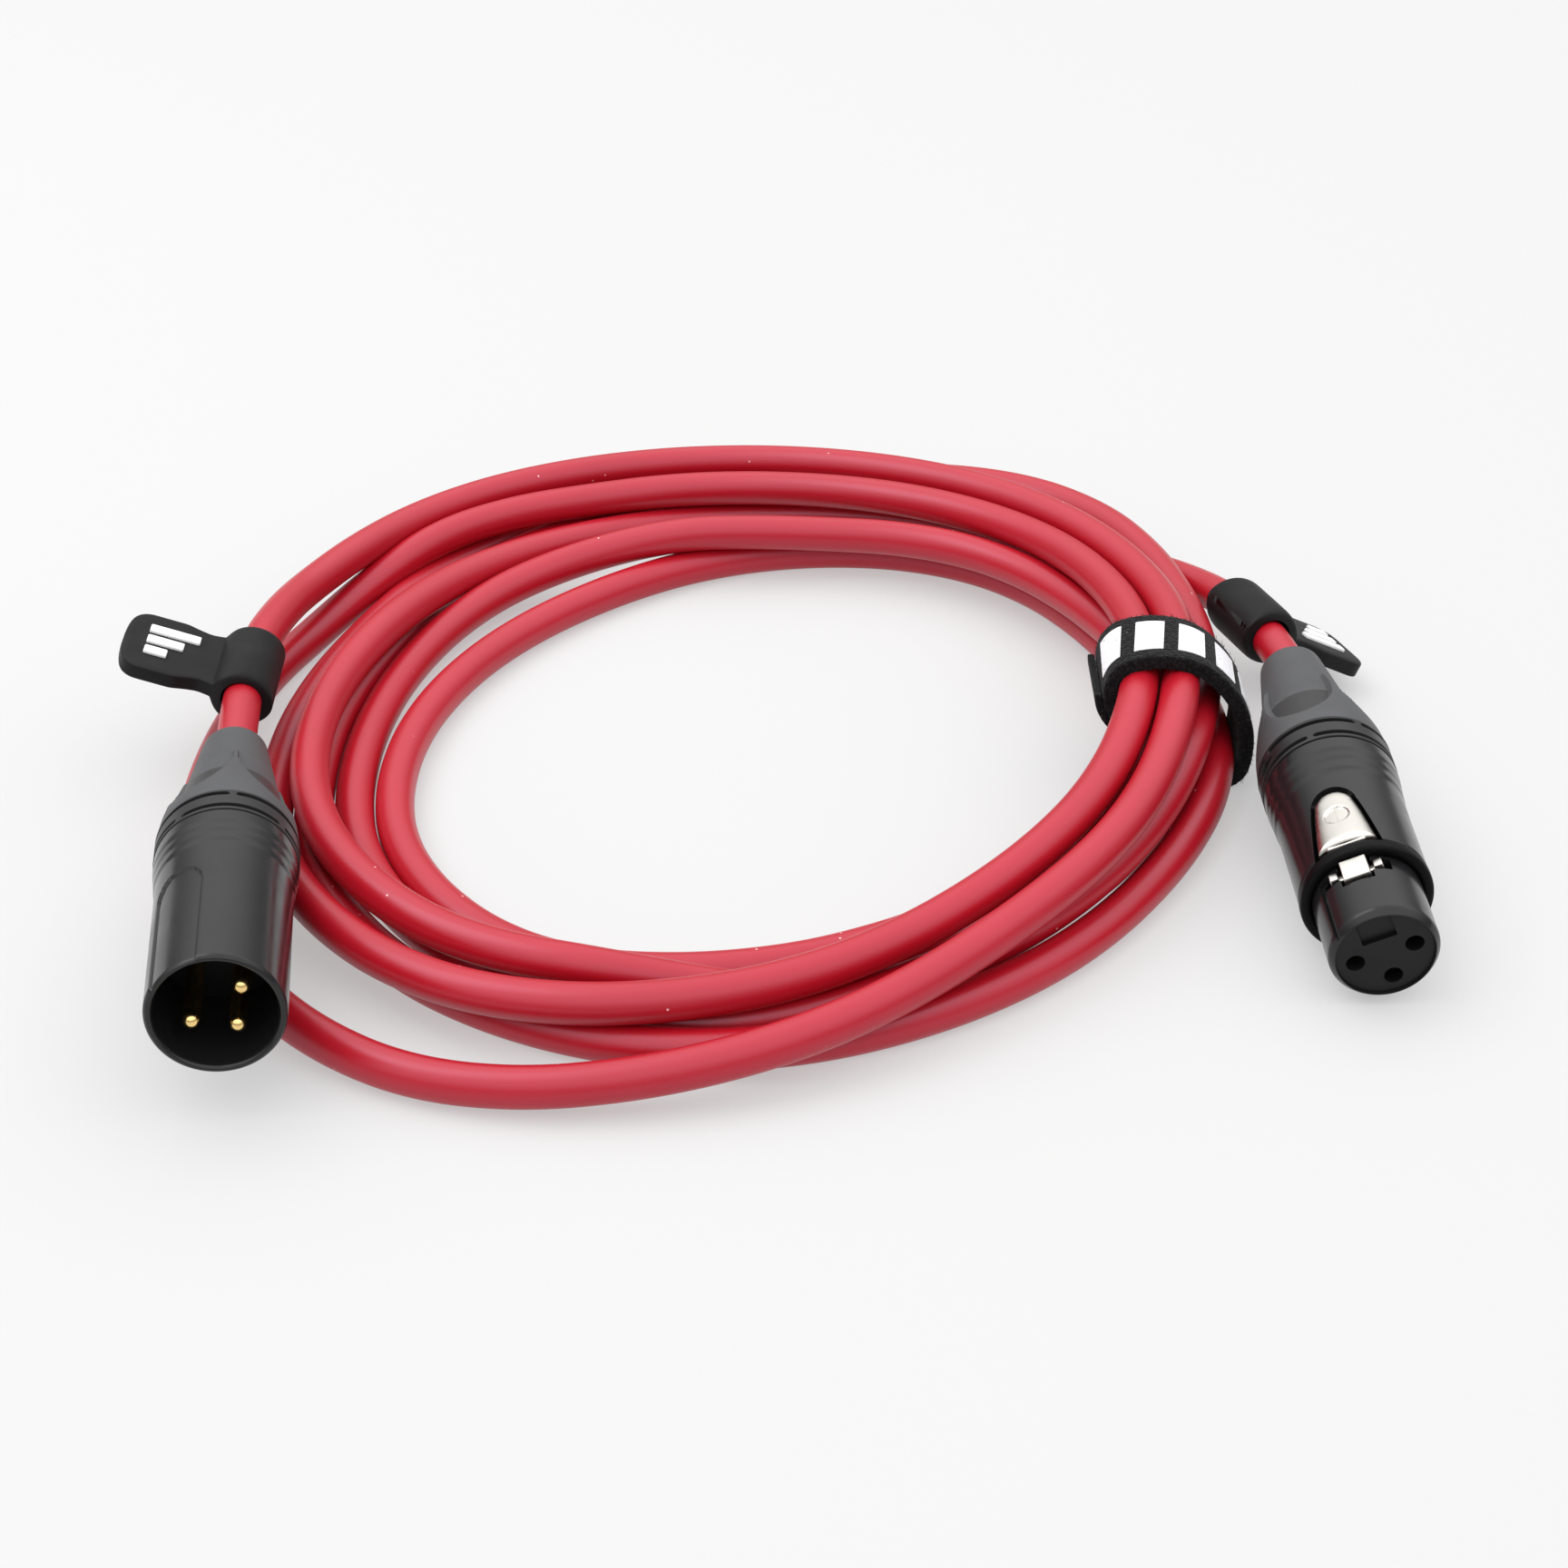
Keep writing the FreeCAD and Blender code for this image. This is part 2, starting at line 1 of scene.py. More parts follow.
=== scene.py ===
"""Looks of a coiled microphone lead: red cable, two black connectors, two tags and a strap.

Lengths are in millimetres until a mesh is made, and every finished object sits at the origin in
metres. A new surface is a grid of points, rows along one parameter and columns round the other,
worked out as whole arrays. Each connector is drawn in its own frame, with x out of its front, z at
its latch side and x = 0 at its front face, as the frame's contacts and mounts give it.
"""
import json
import math

import bmesh
import bpy
import numpy as np
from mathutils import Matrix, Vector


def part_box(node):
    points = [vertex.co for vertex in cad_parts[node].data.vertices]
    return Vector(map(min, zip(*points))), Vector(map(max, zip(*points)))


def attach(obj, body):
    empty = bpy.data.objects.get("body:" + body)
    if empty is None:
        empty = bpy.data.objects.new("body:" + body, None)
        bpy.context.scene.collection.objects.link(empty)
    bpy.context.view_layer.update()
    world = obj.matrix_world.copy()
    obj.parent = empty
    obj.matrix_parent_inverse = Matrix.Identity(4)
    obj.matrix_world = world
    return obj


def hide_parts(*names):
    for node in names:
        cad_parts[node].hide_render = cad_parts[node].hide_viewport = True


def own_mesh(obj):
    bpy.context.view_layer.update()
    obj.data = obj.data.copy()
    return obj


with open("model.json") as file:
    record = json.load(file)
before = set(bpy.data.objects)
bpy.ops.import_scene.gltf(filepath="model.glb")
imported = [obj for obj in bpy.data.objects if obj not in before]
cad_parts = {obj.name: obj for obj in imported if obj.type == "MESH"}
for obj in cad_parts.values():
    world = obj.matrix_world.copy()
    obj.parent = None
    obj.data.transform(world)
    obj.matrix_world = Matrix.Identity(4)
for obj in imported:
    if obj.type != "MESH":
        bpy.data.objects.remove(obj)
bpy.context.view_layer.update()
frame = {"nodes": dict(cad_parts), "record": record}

MM = 0.001
TURN = 2 * math.pi

# ---------------------------------------------------------------- driving dimensions
CABLE_R = 3.0
CABLE_COLUMNS = 28
CABLE_SPACING = 1.5
STRAND_GAP = 2.04 * CABLE_R
SETTLING_ROUNDS = 160
COIL_CENTRE = np.array((-1.23, 21.70, 0.0))

SHELL_R = 9.5
REAR_R = 10.1
WALL_R = 8.6
MALE_RING_X = -35.8
FEMALE_RING_X = -39.3
RING_R = 10.2
RING_LENGTH = 5.0
BOOT_LENGTH = 27.9
MOUTH_R = 8.2
MOUTH_DEPTH = 16.0
NOSE_R = 7.9
NOSE_LENGTH = 12.3
NOSE_MOUNT_BACK = 4.4
GASKET_LENGTH = 2.2
GASKET_R = 9.6
PIN_R = 1.2
PIN_RECESS = 1.9
PIN_CIRCLE_R = 4.3
LATCH_PIVOT = (-28.0, 6.3)
LATCH_HUB_R = 0.8

TAG_R = 4.9
TAG_HALF = 7.75
TAG_REACH = 20.0
TAG_TILT = {"male": 19.0, "female": -28.0}

STRAP_FRONT, STRAP_BACK = -2.5, 11.0
STRAP_THICKNESS = 2.4
EDGE_FIBRES = 3600
PRINT_BARS = 6

CAMERA_FROM_COIL = np.array((0.005, -0.388, 0.245))
CAMERA_DIP = 32.3
CAMERA_LENS = 66.7
SENSOR_WIDTH = 36.0
FLOOR_SIDE = 12.0
FLOOR_SHADE = 0.3
FLOOR_GLOW = 0.425
HORIZON_BRIGHTNESS = 0.32
OVERHEAD_BRIGHTNESS = 1.85
LAMP_POWER = 2.2
LAMP_SIDE = 0.6
LAMP_PLACE = (-0.45, 0.1, 0.8)

# ---------------------------------------------------------------- the cable's route
# Radius from the coil's centre and height of the cable's middle, at every 30 degrees of the clock.
STEP = 30
POINTS_PER_STATION = 3
TURNS = (
    ((86.5, 11.5), (95.5, 9.5), (94.5, 10), (86.5, 13), (74.5, 16.5), (66.2, 18.8),
     (64.5, 15.2), (67, 11), (78.5, 6.5), (91, 3), (89.5, 3), (84.8, 3)),
    ((85.5, 3), (86, 8), (84.5, 9.5), (78, 12.5), (67.5, 16.5), (59.9, 18.8),
     (57.5, 15.5), (58.5, 11), (67.3, 9), (77.5, 8.8), (75.8, 6), (73.5, 3)),
    ((76.8, 3), (90, 3), (98, 3), (100.5, 7.5), (81.5, 11.5), (69.4, 12),
     (64, 9), (63, 5.5), (66.5, 3), (66, 3), (63.8, 3), (62, 3)),
    ((65.5, 3.6), (70, 6), (68, 8.4), (71.5, 9), (66.5, 10.5), (63, 12),
     (54.5, 7), (50.8, 3), (54.3, 3), (59.4, 3), (58.1, 3), (55.2, 3)),
    ((55.8, 3), (60.8, 3), (71, 3), (77, 3), (69, 4.5), (66.5, 5.5),
     (61, 4), (57, 3), (61, 3), (68.3, 8.8), (69.3, 9.6), (68.2, 9.2)),
    ((69.5, 9.6), (78.3, 5.5), (86, 3.2), (82.5, 6.2), (75, 6), (72.7, 5.5),
     (67.8, 3.5), (68.3, 3), (72, 3), (73.5, 3), (71.6, 3), (67.7, 3)),
)
LAST_TURN = ((71, 3), (84, 3), (92, 3), (93, 3))
MALE_TAIL = ((-77.6, -16.0, 15.25), (-79.1, -2.0, 15.4), (-79.3, 16.0, 15.7), (-77.6, 31.0, 13.8))
FEMALE_TAIL = ((58.0, 72.5, 3.6), (67.5, 62.0, 5.6), (74.6, 51.0, 8.4), (79.6, 38.0, 11.8),
               (84.2, 22.5, 13.2), (85.7, 12.7, 13.0))


# ---------------------------------------------------------------- small sums
def unit(vector):
    """The vector at length one."""
    vector = np.asarray(vector, float)
    return vector / np.linalg.norm(vector, axis=-1, keepdims=True)


def ease(low, high, value):
    """0 below low, 1 above high, and a smooth 3t^2 - 2t^3 between."""
    t = np.clip((value - low) / (high - low), 0, 1)
    return t * t * (3 - 2 * t)


def rounded(outline, radius, steps=5, closed=True):
    """An outline with each corner P turned into the curve (1-t)^2 A + 2t(1-t) P + t^2 B.

    A and B lie on the two edges, a radius away from P, or 0.45 of the edge if that is less.
    """
    corner = np.asarray(outline, float)
    before = np.roll(corner, 1, 0) - corner
    after = np.roll(corner, -1, 0) - corner
    cut_before = np.minimum(radius / np.linalg.norm(before, axis=1), 0.45)[:, None]
    cut_after = np.minimum(radius / np.linalg.norm(after, axis=1), 0.45)[:, None]
    a = (corner + before * cut_before)[:, None]
    b = (corner + after * cut_after)[:, None]
    t = np.linspace(0, 1, steps)[None, :, None]
    curve = (1 - t) ** 2 * a + 2 * t * (1 - t) * corner[:, None] + t ** 2 * b
    if closed:
        return curve.reshape(-1, 2)
    return np.vstack([corner[:1], curve[1:-1].reshape(-1, 2), corner[-1:]])


def filled_in(line, spacing, closed=True):
    """A line with more points, so that none is further than the spacing from the next."""
    line = np.vstack([line, line[:1]]) if closed else line
    run = np.append(0, np.cumsum(np.linalg.norm(np.diff(line, axis=0), axis=1)))
    at = np.union1d(run, np.linspace(0, run[-1], int(run[-1] / spacing) + 2))
    at = at[np.append(True, np.diff(at) > spacing * 0.02)]
    made = np.stack([np.interp(at, run, line[:, k]) for k in range(line.shape[1])], -1)
    return made[:-1] if closed else made


def cubic(a, b, c, d, t):
    """Curve from b to c at a share t, whose slope at each is half the way between its neighbours."""
    return b + 0.5 * t * (c - a + t * (2 * a - 5 * b + 4 * c - d + t * (3 * (b - c) + d - a)))


def smooth_loop(points, count):
    """Closed cubic curve through a few points, at a count of even shares of it."""
    points = np.asarray(points, float)
    place = np.arange(count * 8) / (count * 8) * len(points)
    first = place.astype(int)
    t = (place - first)[:, None]
    a, b, c, d = (points[(first + k) % len(points)] for k in (-1, 0, 1, 2))
    curve = cubic(a, b, c, d, t)
    ends = np.vstack([curve, curve[:1]])
    run = np.append(0, np.cumsum(np.linalg.norm(np.diff(ends, axis=0), axis=1)))
    at = np.linspace(0, run[-1], count, endpoint=False)
    return np.stack([np.interp(at, run, ends[:, k]) for k in range(points.shape[1])], -1)


# ---------------------------------------------------------------- local frames
class Place:
    """A local frame: origin in millimetres and three unit axes."""

    def __init__(self, origin, along, across):
        self.origin = np.asarray(origin, float)
        self.x = unit(along)
        self.y = unit(np.asarray(across, float) - np.dot(across, self.x) * self.x)
        self.z = np.cross(self.x, self.y)

    def put(self, points):
        """Points of the local frame in the whole object's frame."""
        return self.origin + points @ np.stack([self.x, self.y, self.z])


WHOLE = Place((0, 0, 0), (1, 0, 0), (0, 1, 0))


def middle(node):
    """Middle of a CAD node's box, in millimetres."""
    low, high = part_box(node)
    return np.array((low + high) / 2) / MM


def mount(name):
    """Place and axis of one of the record's mounts, in millimetres."""
    found = next(m for m in frame["record"]["mounts"] if m["name"] == name)
    return np.array(found["pos_m"]) / MM, np.array(found["axis"])


def joint(name):
    """Place and axis of one of the record's joints, in millimetres."""
    found = next(j for j in frame["record"]["behaviour"]["joints"] if j["name"] == name)
    return np.array(found["pos_m"]) / MM, np.array(found["axis"])


def male_place():
    """Frame of the pin connector, from its mouth and its first two pins."""
    front, along = mount("pin_mouth")
    return Place(front, along, middle("male_pin_2") - middle("male_pin_1"))


def female_place():
    """Frame of the socket connector, from its nose and its first two sockets."""
    front, along = mount("socket_nose")
    front = front + along * NOSE_MOUNT_BACK
    return Place(front, along, middle("female_socket_1") - middle("female_socket_2"))


def tag_frame(joint_name, tilt):
    """Frame of a tag: x along the cable, y out along its flag, which is tilted up from level."""
    origin, along = joint(joint_name)
    side = unit(np.cross((0, 0, 1), along))
    up = np.cross(along, side)
    angle = math.radians(tilt)
    return Place(origin, along, side * math.cos(angle) + up * math.sin(angle))


MALE = male_place()
FEMALE = female_place()


# ---------------------------------------------------------------- meshes
def tidied(mesh, sharp=32):
    """Doubles merged, faces outwards, smooth shading with sharp edges kept."""
    work = bmesh.new()
    work.from_mesh(mesh)
    bmesh.ops.remove_doubles(work, verts=work.verts, dist=2e-7)
    bmesh.ops.recalc_face_normals(work, faces=work.faces)
    work.to_mesh(mesh)
    work.free()
    mesh.polygons.foreach_set("use_smooth", np.ones(len(mesh.polygons), bool))
    mesh.set_sharp_from_angle(angle=math.radians(sharp))


def skin(grid, ring_rows=False):
    """Points and faces of a closed skin through a grid of points whose columns run round.

    With ring_rows the rows close too. Otherwise each end is closed with a fan to its middle.
    """
    rows, columns = grid.shape[:2]
    points = grid.reshape(-1, 3)
    index = np.arange(rows * columns).reshape(rows, columns)
    index = np.hstack([index, index[:, :1]])
    if ring_rows:
        index = np.vstack([index, index[:1]])
    quads = np.stack([index[:-1, :-1], index[1:, :-1], index[1:, 1:], index[:-1, 1:]], -1)
    faces = quads.reshape(-1, 4).tolist()
    if not ring_rows:
        for number, ring in enumerate((index[0], index[-1])):
            hub = np.full(columns, len(points) + number)
            faces += np.stack([ring[:-1], ring[1:], hub], -1).tolist()
        points = np.vstack([points, grid[0].mean(0), grid[-1].mean(0)])
    return points, faces


def skin_uv(along, across, ring_rows=False):
    """UV of every face corner of such a skin, from lengths along its rows and across its columns.

    Both lists hold one value more than the skin has where it closes, so that no face runs back.
    """
    u, v = np.meshgrid(along, across, indexing="ij")
    pair = np.stack([u, v], -1)
    quads = np.stack([pair[:-1, :-1], pair[1:, :-1], pair[1:, 1:], pair[:-1, 1:]], 2).reshape(-1, 2)
    if ring_rows:
        return quads
    ends = []
    for row in (pair[0], pair[-1]):
        hub = np.broadcast_to(row.mean(0), row[:-1].shape)
        ends.append(np.stack([row[:-1], row[1:], hub], 1).reshape(-1, 2))
    return np.vstack([quads, *ends])


def joined(parts):
    """Several (points, faces) pairs as one."""
    all_points, all_faces, start = [], [], 0
    for points, faces in parts:
        all_points.append(points)
        all_faces += [[corner + start for corner in face] for face in faces]
        start += len(points)
    return np.vstack(all_points), all_faces


def mesh_object(name, points, faces, place=WHOLE, sharp=32, uv=None):
    """A tidy mesh object at the origin, from points in a local frame in millimetres."""
    mesh = bpy.data.meshes.new(name)
    mesh.from_pydata((place.put(points) * MM).tolist(), [], faces)
    if uv is not None:
        mesh.uv_layers.new(name="lengths").data.foreach_set("uv", (uv * MM).ravel())
    tidied(mesh, sharp)
    made = bpy.data.objects.new(name, mesh)
    bpy.context.scene.collection.objects.link(made)
    return made


def lathe(outline, columns, change=None):
    """Grid of an (x, r) outline turned about x: (x, r sin a, r cos a), a = 0 at the latch side.

    change(x, a, r) gives the radius where the surface isn't plainly round.
    """
    a = np.linspace(0, TURN, columns, endpoint=False)[None, :]
    x = outline[:, :1] + 0 * a
    r = outline[:, 1:] + 0 * a
    if change is not None:
        r = change(x, a, r)
    return np.stack([x, r * np.sin(a), r * np.cos(a)], -1)


def loft(stations, half_width, half_height, mid_height, power, columns):
    """Grid of superellipse sections: |y/w|^p + |z/h|^p = 1 at each station x, about z = mid_height."""
    a = np.linspace(0, TURN, columns, endpoint=False)[None, :]
    y = np.sign(np.cos(a)) * np.abs(np.cos(a)) ** (2 / power)
    z = np.sign(np.sin(a)) * np.abs(np.sin(a)) ** (2 / power)
    w, h, m = (np.asarray(values, float)[:, None] + 0 * a for values in (half_width, half_height, mid_height))
    return np.stack([np.asarray(stations, float)[:, None] + 0 * a, y * w, m + z * h], -1)


def soft_box(low, high, edge=0.25):
    """Box with rounded edges: a rounded rectangle in y and z, drawn in at both ends in x."""
    low, high = np.asarray(low, float), np.asarray(high, float)
    size = high - low
    t = np.linspace(0, math.pi / 2, 5)
    inset = np.concatenate([edge * (1 - np.sin(t)), edge * (1 - np.sin(t[::-1]))])
    x = np.concatenate([low[0] + edge * (1 - np.cos(t)), high[0] - edge * (1 - np.cos(t[::-1]))])
    corners = ((low[1], low[2]), (high[1], low[2]), (high[1], high[2]), (low[1], high[2]))
    section = rounded(corners, edge)
    centre = np.array((low[1] + size[1] / 2, low[2] + size[2] / 2))
    shrink = 1 - inset[:, None, None] / (size[1:] / 2)[None, None]
    spread = centre + (section[None] - centre) * shrink
    return np.concatenate([x[:, None, None] + 0 * spread[:, :, :1], spread], -1)


def prism(outline, low, high):
    """Upright block over an (x, y) outline, from one height to another."""
    outline = np.asarray(outline, float)
    rows = [np.column_stack([outline, np.full(len(outline), height)]) for height in (low, high)]
    return np.stack(rows)


def carved(obj, cutters, sharp=32):
    """The object with each cutter's room taken out of it. The cutters are used up."""
    for cutter in cutters:
        cut = obj.modifiers.new("cut", "BOOLEAN")
        cut.operation = "DIFFERENCE"
        cut.solver = "EXACT"
        cut.object = cutter
    bpy.context.view_layer.update()
    shown = obj.evaluated_get(bpy.context.evaluated_depsgraph_get())
    mesh = bpy.data.meshes.new_from_object(shown)
    obj.modifiers.clear()
    obj.data = mesh
    for cutter in cutters:
        bpy.data.objects.remove(cutter)
    tidied(obj.data, sharp)
    return obj


# ---------------------------------------------------------------- finishes
class Finish:
    """A material under construction. An input of a node is a plain value or another node's output."""

    def __init__(self, name, colour, roughness, metallic=0.0, **plain):
        self.material = bpy.data.materials.new(name)
        self.material.use_nodes = True
        self.tree = self.material.node_tree
        self.shader = self.tree.nodes["Principled BSDF"]
        self.coordinates = self.tree.nodes.new("ShaderNodeTexCoord")
        self.set(self.shader, {"Base Color": colour, "Roughness": roughness, "Metallic": metallic, **plain})

    def set(self, node, inputs):
        """Give a node's inputs their values or links."""
        for name, value in inputs.items():
            if isinstance(value, bpy.types.NodeSocket):
                self.tree.links.new(value, node.inputs[name])
            elif name.endswith("Color") or name in ("Color1", "Color2"):
                node.inputs[name].default_value = (*value, 1.0) if len(value) == 3 else value
            else:
                node.inputs[name].default_value = value

    def add(self, kind, inputs, **settings):
        """One more node."""
        node = self.tree.nodes.new("ShaderNode" + kind)
        for name, value in settings.items():
            setattr(node, name, value)
        self.set(node, inputs)
        return node

    def spot(self, stretch=(1, 1, 1), source="Object"):
        """Coordinates of the piece, stretched."""
        return self.add("Mapping", {"Vector": self.coordinates.outputs[source], "Scale": stretch}).outputs[0]

    def noise(self, scale, detail=2.0, stretch=(1, 1, 1), source="Object"):
        """Cloudy noise from 0 to 1."""
        node = self.add("TexNoise", {"Vector": self.spot(stretch, source), "Scale": scale, "Detail": detail})
        return node.outputs["Fac"]

    def between(self, value, low, high, to_low=0.0, to_high=1.0):
        """A value carried from one range to another, clamped."""
        node = self.add("MapRange", {"Value": value, "From Min": low, "From Max": high,
                                     "To Min": to_low, "To Max": to_high})
        return node.outputs[0]

    def mixed(self, share, first, second):
        """Two colours mixed by a share."""
        node = self.add("MixRGB", {"Fac": share, "Color1": first, "Color2": second})
        return node.outputs[0]

    def sum(self, operation, first, second):
        """One sum of two values."""
        node = self.add("Math", {}, operation=operation)
        for number, value in enumerate((first, second)):
            if isinstance(value, bpy.types.NodeSocket):
                self.tree.links.new(value, node.inputs[number])
            else:
                node.inputs[number].default_value = value
        return node.outputs[0]

    def bump(self, height, depth_mm, strength=1.0):
        """Fine relief, from a height of 0 to 1 and its depth."""
        node = self.add("Bump", {"Height": height, "Distance": depth_mm * MM, "Strength": strength})
        self.set(self.shader, {"Normal": node.outputs[0]})
        return self

    def colour(self, value):
        """Use a colour output as the base colour."""
        self.set(self.shader, {"Base Color": value})

    def rough(self, value):
        """Use an output as the roughness."""
        self.set(self.shader, {"Roughness": value})


def dusty(finish, clean, dust, amount=0.92, scale=420.0):
    """A colour with a few specks of dust, one cell of a cell pattern in several holding one."""
    cells = finish.add("TexVoronoi", {"Vector": finish.spot(), "Scale": scale})
    speck = finish.between(cells.outputs["Distance"], 0.05, 0.09, 1.0, 0.0)
    pick = finish.add("SeparateColor", {"Color": cells.outputs["Color"]}).outputs[0]
    chosen = finish.between(pick, amount, amount + 0.01)
    return finish.mixed(finish.sum("MULTIPLY", speck, chosen), clean, dust)


def cable_jacket():
    """Satin red jacket: slightly cloudy colour, drawing lines along it, fine grain and some dust."""
    finish = Finish("cable_jacket", (0.4, 0.003, 0.01), 0.32, **{"Specular IOR Level": 0.66,
                                                                "Specular Tint": (0.8, 0.8, 1.0, 1.0)})
    cloud = finish.noise(38.0, 3.0)
    red = finish.mixed(cloud, (0.37, 0.0025, 0.009), (0.45, 0.005, 0.016))
    finish.colour(dusty(finish, red, (0.8, 0.5, 0.5)))
    drawn = finish.noise(900.0, 3.0, (0.03, 1, 1), "UV")
    finish.rough(finish.between(drawn, 0.3, 0.7, 0.32, 0.42))
    grain = finish.sum("ADD", finish.noise(2400.0, 3.0), drawn)
    return finish.bump(grain, 0.014, 0.5).material


def shell_black():
    """Gloss black lacquer: a hint of orange peel, faint smears and dust."""
    finish = Finish("shell_black", (0.01, 0.01, 0.011), 0.2, **{"Specular IOR Level": 0.34})
    finish.colour(dusty(finish, (0.011, 0.011, 0.012), (0.22, 0.22, 0.23), 0.965, 480.0))
    finish.rough(finish.between(finish.noise(140.0, 5.0, (1, 1, 0.4)), 0.35, 0.75, 0.16, 0.28))
    return finish.bump(finish.noise(900.0, 2.0), 0.006, 0.3).material


def plain_plastic(name, colour, low, high, grain=1500.0, depth=0.02, shine=0.5):
    """Moulded plastic or rubber: fine grain, and roughness that drifts between two values."""
    finish = Finish(name, colour, low, **{"Specular IOR Level": shine})
    darker = tuple(0.8 * part for part in colour)
    finish.colour(finish.mixed(finish.noise(90.0, 3.0), darker, tuple(1.25 * part for part in colour)))
    finish.rough(finish.between(finish.noise(210.0, 4.0), 0.3, 0.7, low, high))
    return finish.bump(finish.noise(grain, 3.0), depth, 0.6).material


def plain_metal(name, colour, low, high, stretch=(1, 1, 1)):
    """Plated or bare metal with fine wiping marks in its roughness."""
    finish = Finish(name, colour, low, 1.0)
    finish.colour(finish.mixed(finish.noise(300.0, 3.0), tuple(0.86 * part for part in colour), colour))
    finish.rough(finish.between(finish.noise(900.0, 4.0, stretch), 0.3, 0.7, low, high))
    return finish.bump(finish.noise(1400.0, 3.0, stretch), 0.006, 0.4).material


def strap_fabric():
    """Black hook-and-loop: rows of tiny loops along the tape, painted darker in the hollows as shade and
    lighter on the loop tops as highlight, with streaks of grey lint and specks of dust.
    """
    finish = Finish("strap_fabric", (0.006, 0.006, 0.007), 0.9, **{"Specular IOR Level": 0.25,
                                                                  "Sheen Weight": 0.06,
                                                                  "Sheen Roughness": 0.4})
    loops = finish.add("TexVoronoi", {"Vector": finish.spot((1, 1.5, 1), "UV"), "Scale": 1500.0})
    weave = finish.sum("SUBTRACT", 1.0, loops.outputs["Distance"])
    fluff = finish.noise(1100.0, 5.0, source="UV")
    height = finish.sum("ADD", weave, fluff)
    # Colour follows the loops' height: painted shade in the hollows, painted highlight on the loop tops; the
    # fluff noise adds random tone.
    painted_loop_shade_and_highlight = finish.mixed(finish.between(height, 0.9, 1.6), (0.002, 0.002, 0.0025), (0.018, 0.018, 0.02))
    lint = finish.between(finish.noise(420.0, 6.0, (1, 2.5, 1), "UV"), 0.66, 0.74, 0.0, 0.55)
    finish.colour(dusty(finish, finish.mixed(lint, painted_loop_shade_and_highlight, (0.05, 0.05, 0.053)), (0.3, 0.3, 0.3), 0.95, 700.0))
    return finish.bump(height, 0.3, 0.9).material


def strap_ink():
    """White print, a little worn where the loops stand up through it."""
    finish = Finish("print_white", (0.8, 0.8, 0.82), 0.6)
    worn = finish.between(finish.noise(1500.0, 4.0, source="UV"), 0.62, 0.7)
    finish.colour(finish.mixed(worn, (0.8, 0.8, 0.83), (0.36, 0.36, 0.38)))
    return finish.bump(finish.noise(1300.0, 4.0, source="UV"), 0.12, 0.7).material


MATERIALS = {
    "cable_jacket": cable_jacket(),
    "shell_black": shell_black(),
    "insert_black": plain_plastic("insert_black", (0.005, 0.005, 0.0055), 0.42, 0.55, 1200.0, 0.015, 0.24),
    "ring_black": plain_plastic("ring_black", (0.014, 0.014, 0.015), 0.32, 0.44, shine=0.36),
    "bushing_black": plain_plastic("bushing_black", (0.02, 0.02, 0.021), 0.4, 0.5),
    "boot_rubber": plain_plastic("boot_rubber", (0.06, 0.061, 0.064), 0.5, 0.62, 2200.0, 0.03),
    "chuck_grey": plain_plastic("chuck_grey", (0.2, 0.2, 0.2), 0.45, 0.55),
    "spring_steel": plain_metal("spring_steel", (0.6, 0.6, 0.6), 0.2, 0.35),
    "wire_bare": plain_metal("wire_bare", (0.72, 0.45, 0.3), 0.25, 0.4),
    "wire_white": plain_plastic("wire_white", (0.8, 0.8, 0.78), 0.35, 0.45),
    "wire_blue": plain_plastic("wire_blue", (0.08, 0.18, 0.55), 0.35, 0.45),
    "tag_silicone": plain_plastic("tag_silicone", (0.005, 0.005, 0.0056), 0.5, 0.62, 1700.0, 0.02, 0.22),
    "mark_white": plain_plastic("mark_white", (0.84, 0.84, 0.85), 0.42, 0.52),
    "contact_gold": plain_metal("contact_gold", (0.95, 0.68, 0.28), 0.14, 0.26),
    "latch_metal": plain_metal("latch_metal", (0.66, 0.635, 0.59), 0.24, 0.36, (1, 1, 3)),
    "gasket_rubber": plain_plastic("gasket_rubber", (0.003, 0.003, 0.0034), 0.34, 0.48, shine=0.08),
    "strap_fabric": strap_fabric(),
    "print_white": strap_ink(),
}
SLOTS = {row["node"]: row["material_slot"] for row in frame["record"]["subparts"]}
BODIES = {node: body for body, members in frame["record"]["behaviour"]["bodies"].items() for node in members}


def stand_for(obj, *nodes):
    """The object takes these CAD nodes' place, body, slot and finish."""
    slot = SLOTS[nodes[0]]
    obj.data.materials.clear()
    obj.data.materials.append(MATERIALS[slot])
    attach(obj, BODIES[nodes[0]])
    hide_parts(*nodes)


def finish_cad_nodes():
    """The CAD nodes that stay in view get the finish of their slot."""
    for name, node in frame["nodes"].items():
        node.data.materials.clear()
        node.data.materials.append(MATERIALS[SLOTS[name]])


